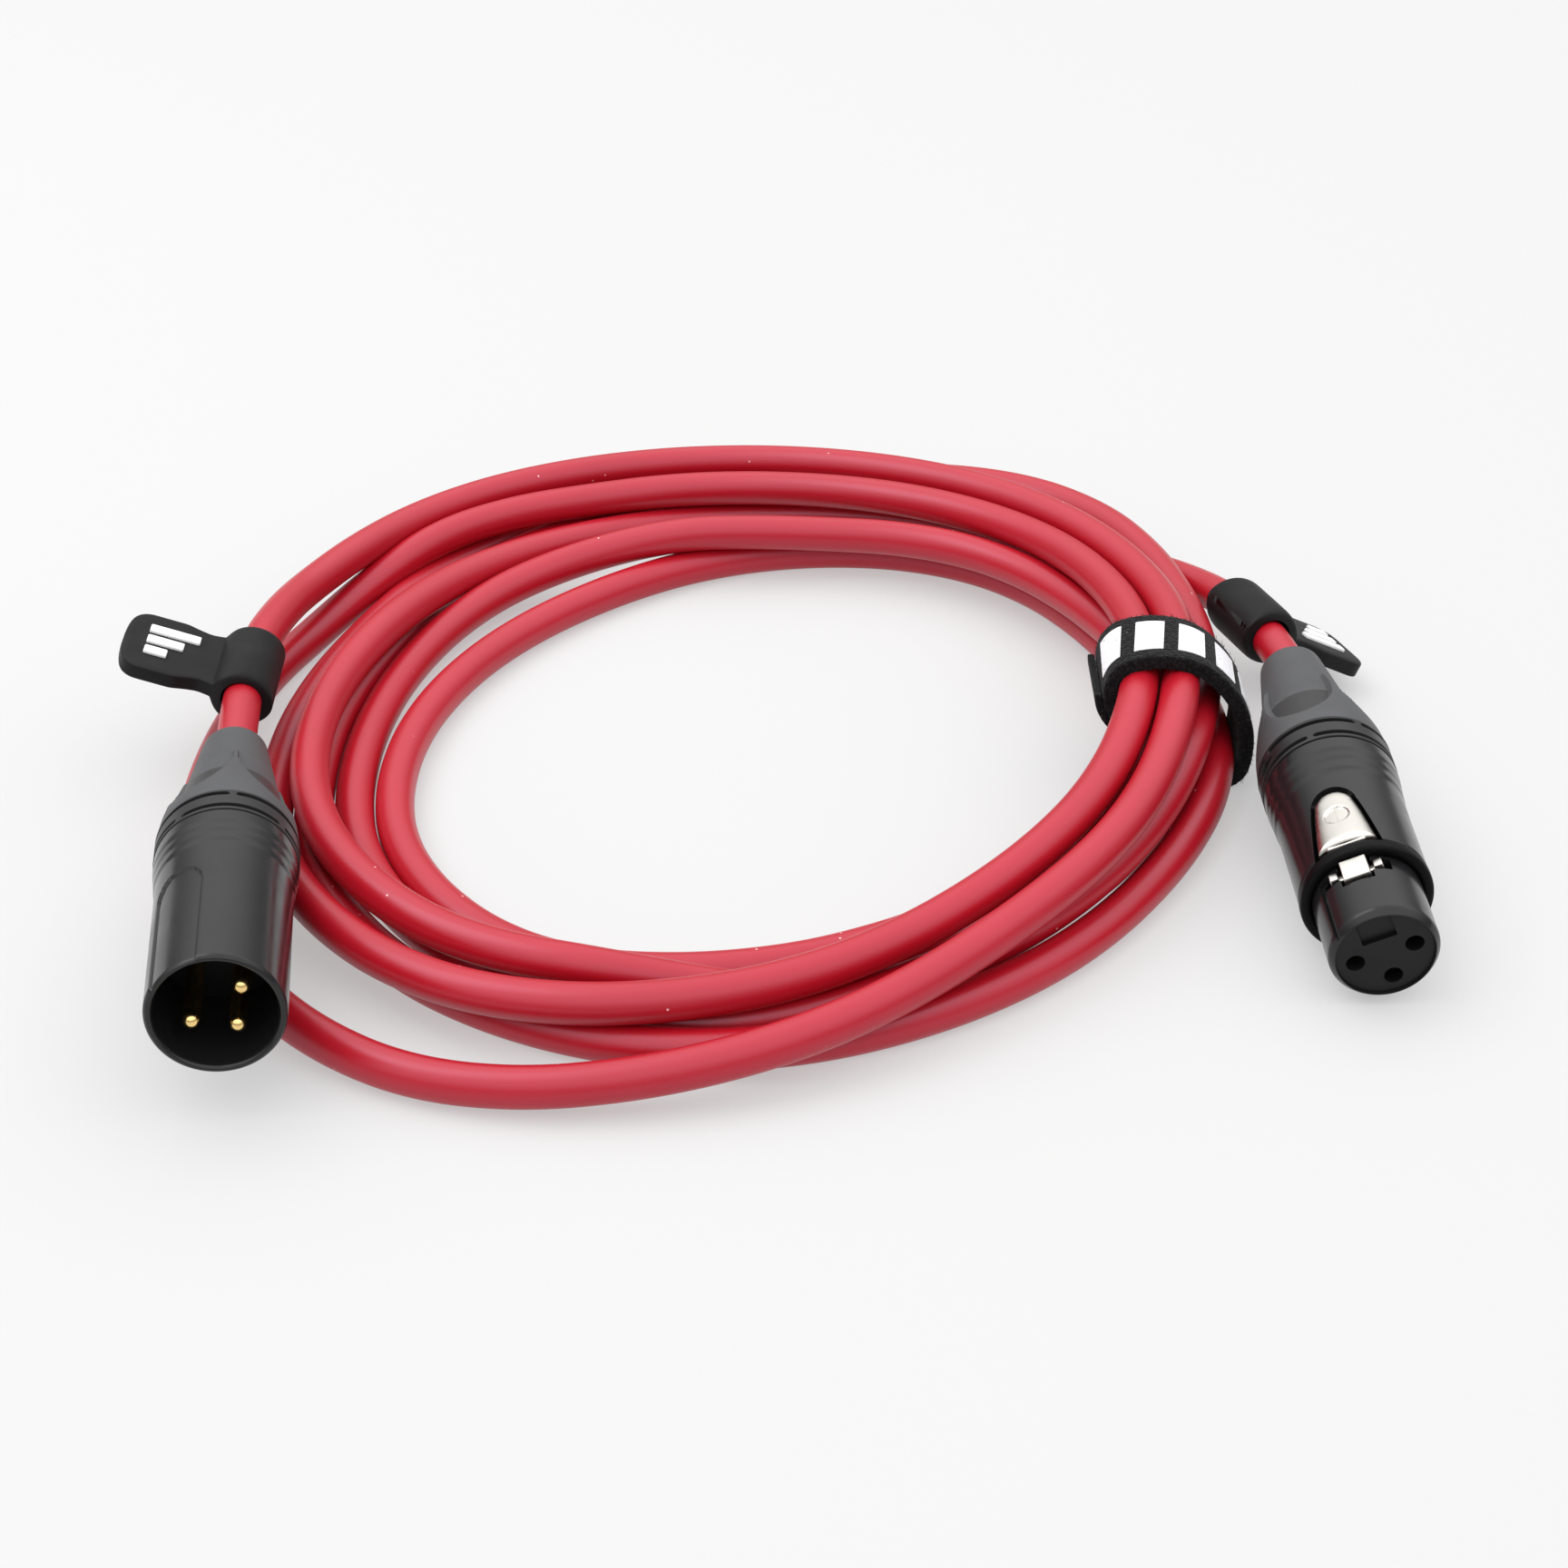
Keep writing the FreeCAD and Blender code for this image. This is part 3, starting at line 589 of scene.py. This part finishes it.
# ---------------------------------------------------------------- cable
def settled(table):
    """Stations at every 10 degrees, with strands that lie in each other pushed apart.

    The heights and radii between two listed stations lie on a cubic curve through them. Then at
    each clock angle any two strands closer than a cable's width move apart along the line between
    them, the change is spread a little along the cable, and nothing goes below the floor.
    """
    table = np.asarray(table, float)
    place = np.arange((len(table) - 1) * POINTS_PER_STATION + 1) / POINTS_PER_STATION
    first = np.minimum(place.astype(int), len(table) - 2)
    t = (place - first)[:, None]
    a, b, c, d = (table[np.clip(first + k, 0, len(table) - 1)] for k in (-1, 0, 1, 2))
    line = cubic(a, b, c, d, t)
    line[:, 1] = np.maximum(line[:, 1], CABLE_R)
    per_turn = 360 // STEP * POINTS_PER_STATION
    numbers = np.arange(len(line))
    apart = numbers[:, None] - numbers[None, :]
    same_clock = (apart % per_turn == 0) & (apart != 0)
    for _ in range(SETTLING_ROUNDS):
        away = line[:, None] - line[None, :]
        gap = np.linalg.norm(away, axis=2) + 1e-6
        push = np.where(same_clock, np.maximum(STRAND_GAP - gap, 0), 0)[..., None] * away / gap[..., None]
        step = 0.5 * push.sum(1)
        spread = step.copy()
        spread[1:-1] = 0.5 * step[1:-1] + 0.25 * (step[:-2] + step[2:])
        line = line + spread
        line[:, 1] = np.maximum(line[:, 1], CABLE_R)
    return line


def cable_route():
    """Control points of the whole cable, from the pin plug's boot to the socket plug's."""
    line = settled([station for turn in TURNS for station in turn] + list(LAST_TURN))
    pitch = STEP / POINTS_PER_STATION
    clock = np.radians(150 - pitch * np.arange(len(line)))
    cutting = 0.75 + 0.25 * math.cos(math.radians(pitch))
    radius = line[:, 0] / cutting
    coil = np.stack([radius * np.cos(clock), radius * np.sin(clock), line[:, 1]], -1)
    return np.vstack([MALE_TAIL, coil, FEMALE_TAIL]) + COIL_CENTRE


def spline_points(route):
    """Fine points along the smooth spline that has the route as its control points."""
    curve = bpy.data.curves.new("cable_route", "CURVE")
    curve.dimensions = "3D"
    spline = curve.splines.new("NURBS")
    spline.points.add(len(route) - 1)
    spline.points.foreach_set("co", np.column_stack([route * MM, np.ones(len(route))]).ravel())
    spline.order_u = 3
    spline.use_endpoint_u = True
    spline.resolution_u = 12
    holder = bpy.data.objects.new("cable_route", curve)
    mesh = bpy.data.meshes.new_from_object(holder)
    points = np.zeros(len(mesh.vertices) * 3)
    mesh.vertices.foreach_get("co", points)
    bpy.data.objects.remove(holder)
    bpy.data.meshes.remove(mesh)
    return points.reshape(-1, 3) / MM


def evenly(points, spacing):
    """Points at an even spacing along a fine line."""
    run = np.append(0, np.cumsum(np.linalg.norm(np.diff(points, axis=0), axis=1)))
    at = np.linspace(0, run[-1], int(run[-1] / spacing) + 1)
    return np.stack([np.interp(at, run, points[:, k]) for k in range(3)], -1), at


def make_cable():
    """Tube round the spline: C(s) + r (cos a side + sin a up), with UV along and round, a from below."""
    line, run = evenly(spline_points(cable_route()), CABLE_SPACING)
    ahead = unit(np.gradient(line, axis=0))
    side = unit(np.cross(ahead, (0, 0, 1)))
    up = np.cross(side, ahead)
    a = (np.linspace(0, TURN, CABLE_COLUMNS, endpoint=False) - math.pi / 2)[None, :, None]
    lay = 1 + 0.0035 * np.sin(run[:, None, None] / 9.0 + 2 * a)
    grid = line[:, None] + CABLE_R * lay * (np.cos(a) * side[:, None] + np.sin(a) * up[:, None])
    uv = skin_uv(run, np.linspace(0, TURN * CABLE_R, CABLE_COLUMNS + 1))
    cable = mesh_object("cable", *skin(grid), sharp=60, uv=uv)
    stand_for(cable, "cable_coil", "cable_loose_turn", "cable_tail_male", "cable_tail_female")
    length = round(float(run[-1]) * MM, 3)
    return cable, line * MM, length


# ---------------------------------------------------------------- pieces that both connectors share
def make_ring(name, x_front, place):
    """Coding ring: its radius less a slot depth, in two rows of long slots and two pointed windows."""
    x_rear = x_front - RING_LENGTH
    outline = rounded(((x_rear, WALL_R), (x_front, WALL_R), (x_front, RING_R), (x_rear, RING_R)), 0.22)
    outline = filled_in(outline, 0.1)
    slot_half, window_half, depth = 0.34, 0.9, 1.2

    def change(x, a, r):
        cut = np.zeros_like(r)
        for row, shift in ((x_rear + 0.95, 0.0), (x_front - 0.95, math.pi / 4)):
            reach = math.radians(40)
            near = (a - shift + math.pi / 4) % (math.pi / 2) - math.pi / 4
            beyond = np.maximum(np.abs(near) - reach, 0) * RING_R
            gap = np.hypot(x - row, beyond)
            cut = np.maximum(cut, 1 - ease(slot_half - 0.06, slot_half + 0.06, gap))
        middle_x = (x_rear + x_front) / 2
        near = ((a - math.radians(-52) + math.pi / 2) % math.pi - math.pi / 2) * RING_R
        point = np.abs(near) / 2.7 + np.abs(x - middle_x) / window_half
        cut = np.maximum(cut, 1 - ease(0.92, 1.08, point))
        outer = ease(RING_R - 0.5, RING_R - 0.3, r)
        return r - depth * cut * outer

    ring = mesh_object(name + "_coding_ring_moulding", *skin(lathe(outline, 480, change), True), place)
    stand_for(ring, name + "_coding_ring")


def make_boot(name, x_ring, place):
    """Rubber boot: an upper cone, and a lower cone that stands proud outside four round scallops.

    With s from 0 at the ring to 1 at the tip, a scallop's edge is at
    s = 0.62 - 0.5 sqrt(1 - (angle from its middle / 43 degrees)^2).
    """
    rear = x_ring - RING_LENGTH
    tip = rear - BOOT_LENGTH
    front = rear - 0.12
    outline = rounded(((front, 8.4), (front, 10.05), (tip + 6, 6.0), (tip, 5.0), (tip, CABLE_R + 0.06),
                       (tip + 7, CABLE_R + 0.06), (rear - 10, 6.5)), 0.7)
    outline = filled_in(outline, 0.3)

    def change(x, a, r):
        s = np.clip((front - x) / (front - tip), 0, 1)
        lower = np.interp(s, (0, 0.05, 0.12, 0.3, 0.62, 1), (10.05, 10.0, 9.8, 9.0, 6.95, 4.7))
        upper = np.interp(s, (0, 0.12, 0.62, 0.93, 0.985, 1), (9.1, 8.5, 6.4, 5.15, 4.9, 4.3))
        near = (a + math.pi / 4) % (math.pi / 2) - math.pi / 4
        share = np.clip(np.abs(near) / math.radians(43), 0, 1)
        edge = 0.62 - 0.5 * np.sqrt(1 - share ** 2)
        raised = 1 - ease(-0.012, 0.012, s - edge)
        shape = np.maximum(upper, upper + (lower - upper) * raised)
        outer = (r > np.interp(s, (0, 0.4, 1), (8.9, 6.9, 4.3))) & (x < front - 0.01)
        return np.where(outer, shape, np.minimum(r, shape))

    boot = mesh_object(name + "_boot_rubber", *skin(lathe(outline, 192, change), True), place)
    stand_for(boot, name + "_boot")


# ---------------------------------------------------------------- pin connector
def make_male_shell():
    """Shell with an open mouth, three fine steps at its rear and a shallow round-topped panel.

    The panel is sunk where the distance from its middle line, or from its top's centre, is small.
    """
    rear = MALE_RING_X + 0.06
    outline = ((0, MOUTH_R + 0.35), (-0.05, 9.0), (-0.5, 9.38), (-24, SHELL_R), (-28.2, 9.58),
               (-29.0, 9.75), (-30.4, 9.78), (-31.2, 9.92), (-32.3, 9.95), (-33.2, REAR_R), (rear, REAR_R),
               (rear, WALL_R), (-MOUTH_DEPTH, WALL_R), (-MOUTH_DEPTH, MOUTH_R), (-0.5, MOUTH_R))
    outline = filled_in(rounded(outline, 0.3), 0.35)
    half_width, depth, top = 4.1, 0.3, -19.5

    def change(x, a, r):
        across = ((a + math.pi) % TURN - math.pi) * SHELL_R
        gap = np.hypot(np.minimum(x - top, 0), across) - half_width
        sunk = 1 - ease(-0.1, 0.1, gap)
        return r - depth * sunk * ease(8.9, 9.2, r)

    shell = mesh_object("male_shell_lacquered", *skin(lathe(outline, 288, change), True), MALE)
    stand_for(shell, "male_shell")


def contact_places():
    """Across and up coordinates of contacts 1, 2 and 3."""
    return ((-PIN_CIRCLE_R, 0.0), (PIN_CIRCLE_R, 0.0), (0.0, -PIN_CIRCLE_R))


def make_pins():
    """Three pins with round tips: r = R sin t at x = tip - R (1 - cos t)."""
    rear, tip = -32.8, -PIN_RECESS
    turn = np.linspace(0, math.pi / 2, 10)
    dome = np.column_stack([tip - PIN_R * (1 - np.cos(turn)), PIN_R * np.sin(turn)])
    outline = np.vstack([dome, ((rear, PIN_R), (rear, 0))])
    for number, (across, up) in enumerate(contact_places(), 1):
        grid = lathe(outline, 40) + np.array((0, across, up))
        pin = mesh_object("male_pin_%d_plated" % number, *skin(grid), MALE)
        stand_for(pin, "male_pin_%d" % number)


# ---------------------------------------------------------------- socket connector
def bullet(x_front, front_half, x_rear, rear_half):
    """Outline over x that narrows on a slight curve to a round rear end.

    The half width is rear + (front - rear) t^0.8, t from 0 where the round end starts to 1 in front.
    """
    t = np.linspace(1, 0, 16)
    start = x_rear + rear_half
    x = start + (x_front - start) * t
    y = rear_half + (front_half - rear_half) * t ** 0.8
    turn = np.linspace(0, math.pi, 17)[1:-1]
    end = np.column_stack([start - rear_half * np.sin(turn), rear_half * np.cos(turn)])
    return np.vstack([np.column_stack([x, y]), end, np.column_stack([x, -y])[::-1]])


def make_female_shell():
    """Shell with a narrower nose, the latch's window and slots, and a key groove along the nose."""
    rear = FEMALE_RING_X + 0.06
    seat = -NOSE_LENGTH - GASKET_LENGTH
    outline = ((0, 7.0), (0, 7.15), (-1.0, NOSE_R), (seat, NOSE_R), (seat, SHELL_R), (-27, SHELL_R),
               (-31.4, 9.58), (-32.2, 9.75), (-33.8, 9.78), (-34.6, 9.92), (-35.7, 9.95), (-36.6, REAR_R),
               (rear, REAR_R), (rear, WALL_R), (-30.0, WALL_R), (-30.0, 7.0))
    outline = filled_in(rounded(outline, 0.45), 0.5)
    shell = mesh_object("female_shell_lacquered", *skin(lathe(outline, 160), True), FEMALE)
    window = mesh_object("window", *skin(prism(bullet(seat + 0.01, 5.0, -27.9, 3.4), 4.5, 12)), FEMALE)
    arm = mesh_object("arm_room", *skin(soft_box((-26, -2.4, 4), (-7.9, 2.4, 9))), FEMALE)
    tabs = mesh_object("tab_room", *skin(soft_box((-11.9, -4.9, 4.9), (-9.6, 4.9, 9), 0.15)), FEMALE)
    angle = math.radians(-42)
    groove = soft_box((-12.0, -0.55, NOSE_R - 0.8), (-0.3, 0.55, NOSE_R + 1), 0.12)
    y, z = groove[..., 1].copy(), groove[..., 2].copy()
    groove[..., 1] = y * math.cos(angle) + z * math.sin(angle)
    groove[..., 2] = z * math.cos(angle) - y * math.sin(angle)
    key = mesh_object("key_room", *skin(groove), FEMALE)
    stand_for(carved(shell, [window, arm, tabs, key], 28), "female_shell")


def make_gasket():
    """Rubber ring, seated against the shell's shoulder."""
    front, rear = -NOSE_LENGTH, -NOSE_LENGTH - GASKET_LENGTH
    outline = rounded(((front, NOSE_R), (front, GASKET_R), (rear, GASKET_R), (rear, NOSE_R)), 0.75, 9)
    ring = mesh_object("female_gasket_ring", *skin(lathe(outline, 160), True), FEMALE)
    stand_for(ring, "female_gasket")


def make_latch():
    """Latch: a round-backed tongue with a round dimple, its riser and stem, the arm, a tooth and two tabs.

    The tongue is a bullet outline, and its rim drops away on a quarter circle: at a share e of the
    way out from its middle line, z = top - 1.1 (1 - sqrt(1 - e^6)), and it bows over its width.
    """
    outline = filled_in(bullet(-15.0, 4.3, -27.3, 3.0), 0.2)
    middle_line = np.column_stack([np.clip(outline[:, 0], -24.3, -17.5), 0 * outline[:, 1]])
    share = np.concatenate([np.sin(np.linspace(0.003, math.pi / 2, 40)), np.ones(3)])[:, None, None]
    flat = middle_line[None] + (outline - middle_line)[None] * share
    x, y = flat[..., 0], flat[..., 1]
    depth = 1.1 * (1 - np.sqrt(1 - np.minimum(share[..., 0], 1) ** 6 + 1e-9))
    dimple_x, dimple_inner_r, dimple_outer_r, dimple_depth = -21.3, 1.65, 1.95, 0.35
    dimple = dimple_depth * (1 - ease(dimple_inner_r, dimple_outer_r, np.hypot(x - dimple_x, y)))
    z = 9.95 + 0.035 * (x + 15) - 0.045 * y ** 2 - depth - dimple
    z[-2] -= 0.25
    z[-1] -= 0.9
    tongue = np.stack([x, y, z], -1)
    riser = soft_box((-16.6, -2.9, 7.9), (-14.8, 2.9, 9.2), 0.4)
    stem = soft_box((-17.0, -2.0, 6.4), (-15.4, 2.0, 8.6), 0.4)
    arm = soft_box((-27.6, -2.0, 6.3), (-8.9, 2.0, 7.35), 0.3)
    tooth = soft_box((-12.0, -1.95, 6.4), (-8.3, 1.95, 8.8), 0.22)
    tooth[..., 2] -= 0.1 * (tooth[..., 0] + 12.0)
    bar = soft_box((-11.4, -3.7, 6.2), (-10.2, 3.7, 6.9), 0.2)
    ends = [soft_box((-11.5, side - 0.65, 6.2), (-10.0, side + 0.65, 7.6), 0.2) for side in (-3.25, 3.25)]
    hub_line = ((-2.1, 0), (-2.1, LATCH_HUB_R), (2.1, LATCH_HUB_R), (2.1, 0))
    hub = lathe(rounded(hub_line, 0.15, closed=False), 24)
    hub = hub[..., [1, 0, 2]] + np.array((LATCH_PIVOT[0], 0, LATCH_PIVOT[1]))
    parts = joined([skin(part) for part in (tongue, riser, stem, arm, tooth, bar, *ends, hub)])
    latch = mesh_object("female_latch_pressed", *parts, FEMALE, 40)
    stand_for(latch, "female_latch")


def make_latch_spring():
    """Leaf under the latch's arm: z rises by a quarter sine over its length."""
    t = np.linspace(0, 1, 30)
    x = -24.0 + 8.0 * t
    z = 4.72 + 0.48 * np.sin(t * math.pi / 2)
    leaf = mesh_object("female_latch_leaf", *skin(loft(x, 1.5 + 0 * x, 0.14 + 0 * x, z, 6.0, 32)), FEMALE)
    stand_for(leaf, "female_latch_spring")
    base = FEMALE.put(np.array((-20.0, 0, 4.8))) * MM
    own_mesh(leaf)


# ---------------------------------------------------------------- tags
def make_tag(name, place):
    """Silicone tag: superellipse sections across its flag, thick round the cable and thin beyond.

    Half thickness is (c^4 + 1.4^4)^(1/4) with c the barrel's circle sqrt(4.9^2 - y^2), and the flag
    is waisted beside the barrel and rounded at its end.
    """
    turn = np.linspace(0, math.pi / 2, 14)
    square = TAG_REACH - 4
    y = np.concatenate([-TAG_R * np.cos(turn), np.linspace(0, square, 60)[1:], square + 4 * np.sin(turn[1:])])
    circle = np.sqrt(np.clip(TAG_R ** 2 - y ** 2, 0, None))
    flag_half = 1.4
    thick = np.where(y < 0, circle, (circle ** 4 + flag_half ** 4) ** 0.25)
    end = np.clip(y - TAG_REACH + 1, 0, 1)
    thick = thick * np.sqrt(np.clip(1 - end ** 2.2, 0, 1))
    width = np.interp(y, (-5, 3.4, 5.0, 7.0, 9.0, 11.0, square),
                      (TAG_HALF, TAG_HALF, 7.2, 6.8, 7.3, 8.0, 8.0))
    kernel = np.ones(5) / 5
    width[4:-20] = np.convolve(width, kernel, "same")[4:-20]
    corner = np.clip((y - square) / 4, 0, 1)
    width = width * np.clip(1 - corner ** 2.6, 0, 1) ** (1 / 2.6)
    grid = loft(y, width, thick, 0 * y, 9.0, 96)
    grid = grid[..., [1, 0, 2]]
    tag = mesh_object(name + "_tag_moulding", *skin(grid), place, 50)
    bore_outline = np.array(((-20, 0), (-20, CABLE_R + 0.22), (20, CABLE_R + 0.22), (20, 0)))
    bore = mesh_object("bore", *skin(lathe(bore_outline, 48)), place)
    stand_for(carved(tag, [bore], 50), name + "_tag")
    bars = []
    for number in range(3):
        left = -4.1 + 3.1 * number
        bars.append(soft_box((left, 12.8 - 2.2 * number, 1.2), (left + 2.0, 16.4, 1.9), 0.25))
    mark = mesh_object(name + "_tag_raised_mark", *joined([skin(bar) for bar in bars]), place, 50)
    stand_for(mark, name + "_tag_mark")


# ---------------------------------------------------------------- strap
# Outer outline of the strap in the x z plane, from the coil's centre, clockwise from the lower left.
STRAP_OUTLINE = ((58.8, 8.6), (54.7, 14.5), (54.4, 19.5), (56.9, 23.0), (62.5, 24.3), (68.6, 23.2),
                 (73.3, 19.7), (76.6, 14.9), (78.2, 9.0), (77.4, 2.6), (73.5, 0.0), (67.0, 0.0), (61.8, 2.6))
STRAP_COUNT = 320
STRAP_LENGTH = 80.0
TAIL_ROOT = 0.13
RANDOM = np.random.default_rng(7)


def strap_lines():
    """Points of the strap's outer face and its outward directions, in the coil's x z plane."""
    line = smooth_loop(STRAP_OUTLINE, STRAP_COUNT)
    line[:, 1] = np.maximum(line[:, 1], 0.05)
    ahead = unit(np.roll(line, -1, 0) - np.roll(line, 1, 0))
    return line, np.column_stack([-ahead[:, 1], ahead[:, 0]])


def ribbon(first, last, inner, outer, front, back, edge=0.6, slant=0.0, frayed=0.0):
    """A layer of the strap between two shares of its outline: rounded sections carried along it.

    Returns its grid, and its UV lengths along and round. With a slant the back edge runs ahead of
    the front one. Frayed edges wander by two waves and seeded noise, in millimetres.
    """
    line, out = strap_lines()
    whole = last - first == 1
    count = STRAP_COUNT if whole else int((last - first) * STRAP_COUNT) + 2
    at = np.linspace(first, last, count, endpoint=not whole) * STRAP_COUNT
    corners = ((front, inner), (back, inner), (back, outer), (front, outer))
    section = filled_in(rounded(corners, edge), 0.45)
    place = at[:, None] + slant * (section[None, :, 0] - front)
    turn = np.arange(STRAP_COUNT + 1)
    closed_line, closed_out = (np.vstack([values, values[:1]]) for values in (line, out))
    base = np.stack([np.interp(place, turn, closed_line[:, k], period=STRAP_COUNT) for k in (0, 1)], -1)
    away = np.stack([np.interp(place, turn, closed_out[:, k], period=STRAP_COUNT) for k in (0, 1)], -1)
    flat = base + away * section[None, :, 1:]
    side = (section[:, 0] - (front + back) / 2) / ((back - front) / 2)
    weave = np.sin(at * 1.9) + 0.5 * np.sin(at * 0.83) + RANDOM.normal(0, 0.7, count)
    across = section[None, :, 0] + frayed * weave[:, None] * (side ** 7)[None]
    grid = np.stack([flat[..., 0], across, np.maximum(flat[..., 1], 0.02)], -1) + COIL_CENTRE
    sides = np.diff(np.vstack([section, section[:1]]), axis=0)
    around = np.append(0, np.cumsum(np.linalg.norm(sides, axis=1)))
    run = np.linspace(first, last, count + whole) * STRAP_LENGTH
    return grid, run, around


def ribbon_object(name, layer, ring_rows=False):
    """A strap layer as an object, with its UV in metres."""
    grid, run, around = layer
    return mesh_object(name, *skin(grid, ring_rows), sharp=60, uv=skin_uv(run, around, ring_rows))


def strap_hairs(count):
    """Short curved fibres along the two edges of the tape: bent three-sided spikes.

    A fibre's spine is root + way t + bend t^2 for t from 0 to 1, and it tapers from 0.05 mm.
    """
    line, out = strap_lines()
    pick = RANDOM.integers(0, STRAP_COUNT, count)
    ahead = unit(np.roll(line, -1, 0) - line)[pick]
    edge = RANDOM.choice((-1.0, 1.0), count)
    half = (STRAP_BACK - STRAP_FRONT) / 2 - 0.3 * RANDOM.uniform(0.6, 1.4, count)
    inward = RANDOM.uniform(0, STRAP_THICKNESS - 0.2, count)[:, None]
    lean = RANDOM.normal(0, 0.8, count)[:, None]
    lift = RANDOM.uniform(-0.2, 0.9, count)[:, None]
    root_flat = line[pick] - out[pick] * inward
    root = np.stack([root_flat[:, 0], (STRAP_FRONT + STRAP_BACK) / 2 + edge * half, root_flat[:, 1]], -1)
    way_flat = ahead * lean + out[pick] * lift
    way = unit(np.stack([way_flat[:, 0], edge * RANDOM.uniform(0.4, 1.6, count), way_flat[:, 1]], -1))
    way = way * RANDOM.uniform(0.25, 0.8, count)[:, None]
    bend = RANDOM.normal(0, 0.2, (count, 3))
    t = np.array((0.0, 0.55, 1.0))[None, :, None]
    spine = root[:, None] + way[:, None] * t + bend[:, None] * t ** 2
    a = np.arange(3) * TURN / 3
    ring = 0.05 * np.stack([np.cos(a), np.sin(a), np.cos(a + 1.1)], -1)
    taper = np.array((1.0, 0.7, 0.1))[:, None, None]
    points = spine[:, :, None] + (ring * taper)[None]
    points[..., 2] = np.maximum(points[..., 2], 0.02)
    index = np.arange(count * 9).reshape(count, 3, 3)
    beside = np.roll(index, -1, 2)
    sides = np.stack([index[:, :-1], beside[:, :-1], beside[:, 1:], index[:, 1:]], -1).reshape(-1, 4)
    ends = np.vstack([index[:, 0, ::-1], index[:, 2]])
    return points.reshape(-1, 3) + COIL_CENTRE, sides.tolist() + ends.tolist()


def make_strap():
    """The wound band, its free end, the printed bars and the fibres along the edges."""
    band = ribbon(0, 1, -STRAP_THICKNESS, 0, STRAP_FRONT, STRAP_BACK, frayed=0.07)
    stand_for(ribbon_object("strap_band_woven", band, True), "strap_band")
    tail = ribbon(0.01, TAIL_ROOT, 0.15, 1.25, STRAP_FRONT + 0.3, STRAP_BACK - 0.3, 0.45, frayed=0.07)
    stand_for(ribbon_object("strap_tail_woven", tail), "strap_tail")
    bars = [ribbon(0.155 + 0.088 * number, 0.213 + 0.088 * number, -0.1, 0.12, 0.0, 8.6, 0.08, 0.55)
            for number in range(PRINT_BARS)]
    points, faces = joined([skin(grid) for grid, run, around in bars])
    uv = np.vstack([skin_uv(run, around) for grid, run, around in bars])
    stand_for(mesh_object("strap_print_bars", points, faces, sharp=60, uv=uv), "strap_print")
    hairs = mesh_object("strap_edge_fibres", *strap_hairs(EDGE_FIBRES), sharp=60)
    hairs.data.materials.append(MATERIALS["strap_fabric"])
    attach(hairs, BODIES["strap_band"])


# ---------------------------------------------------------------- room, light and camera
def make_floor():
    """Plain pale floor that evens out its own shading a little."""
    corners = [(-FLOOR_SIDE, -FLOOR_SIDE, 0), (FLOOR_SIDE, -FLOOR_SIDE, 0),
               (FLOOR_SIDE, FLOOR_SIDE, 0), (-FLOOR_SIDE, FLOOR_SIDE, 0)]
    mesh = bpy.data.meshes.new("floor")
    mesh.from_pydata(corners, [], [(0, 1, 2, 3)])
    floor = bpy.data.objects.new("floor", mesh)
    bpy.context.scene.collection.objects.link(floor)
    glow = {"Emission Color": (1.0, 1.0, 1.0), "Emission Strength": FLOOR_GLOW, "Specular IOR Level": 0.0}
    finish = Finish("floor", (FLOOR_SHADE, FLOOR_SHADE, FLOOR_SHADE), 1.0, **glow)
    mesh.materials.append(finish.material)


def make_light():
    """Even surroundings, brighter overhead than at the horizon, and one soft lamp above to the left."""
    world = bpy.data.worlds.new("surroundings")
    world.use_nodes = True
    tree = world.node_tree
    way = tree.nodes.new("ShaderNodeTexCoord")
    height = tree.nodes.new("ShaderNodeSeparateXYZ")
    ramp = tree.nodes.new("ShaderNodeMapRange")
    ramp.interpolation_type = "SMOOTHSTEP"
    ramp.inputs["From Min"].default_value = 0.1
    ramp.inputs["From Max"].default_value = 0.75
    ramp.inputs["To Min"].default_value = HORIZON_BRIGHTNESS
    ramp.inputs["To Max"].default_value = OVERHEAD_BRIGHTNESS
    tree.links.new(way.outputs["Generated"], height.inputs[0])
    tree.links.new(height.outputs["Z"], ramp.inputs["Value"])
    tree.links.new(ramp.outputs[0], tree.nodes["Background"].inputs["Strength"])
    tree.nodes["Background"].inputs["Color"].default_value = (1.0, 1.0, 1.0, 1.0)
    bpy.context.scene.world = world
    bpy.context.scene.view_settings.view_transform = "Standard"
    lamp = bpy.data.lights.new("overhead", "AREA")
    lamp.size = LAMP_SIDE
    lamp.energy = LAMP_POWER
    light = bpy.data.objects.new("overhead", lamp)
    light.location = LAMP_PLACE
    light.rotation_euler = (0, math.atan2(LAMP_PLACE[0], LAMP_PLACE[2]), 0)
    bpy.context.scene.collection.objects.link(light)


def make_camera():
    """Camera in front of the coil, looking down at it."""
    camera = bpy.data.cameras.new("camera")
    camera.lens = CAMERA_LENS
    camera.sensor_width = SENSOR_WIDTH
    view = bpy.data.objects.new("camera", camera)
    view.location = COIL_CENTRE * MM + CAMERA_FROM_COIL
    view.rotation_euler = (math.radians(90 - CAMERA_DIP), 0, 0)
    bpy.context.scene.collection.objects.link(view)
    bpy.context.scene.camera = view


make_camera()
finish_cad_nodes()
cable, cable_line, cable_length = make_cable()
make_male_shell()
make_pins()
make_ring("male", MALE_RING_X, MALE)
make_boot("male", MALE_RING_X, MALE)
make_female_shell()
make_gasket()
make_latch()
make_latch_spring()
make_ring("female", FEMALE_RING_X, FEMALE)
make_boot("female", FEMALE_RING_X, FEMALE)
make_tag("male", tag_frame("pin_side_tag_turn", TAG_TILT["male"]))
make_tag("female", tag_frame("socket_side_tag_turn", TAG_TILT["female"]))
make_strap()
make_floor()
make_light()
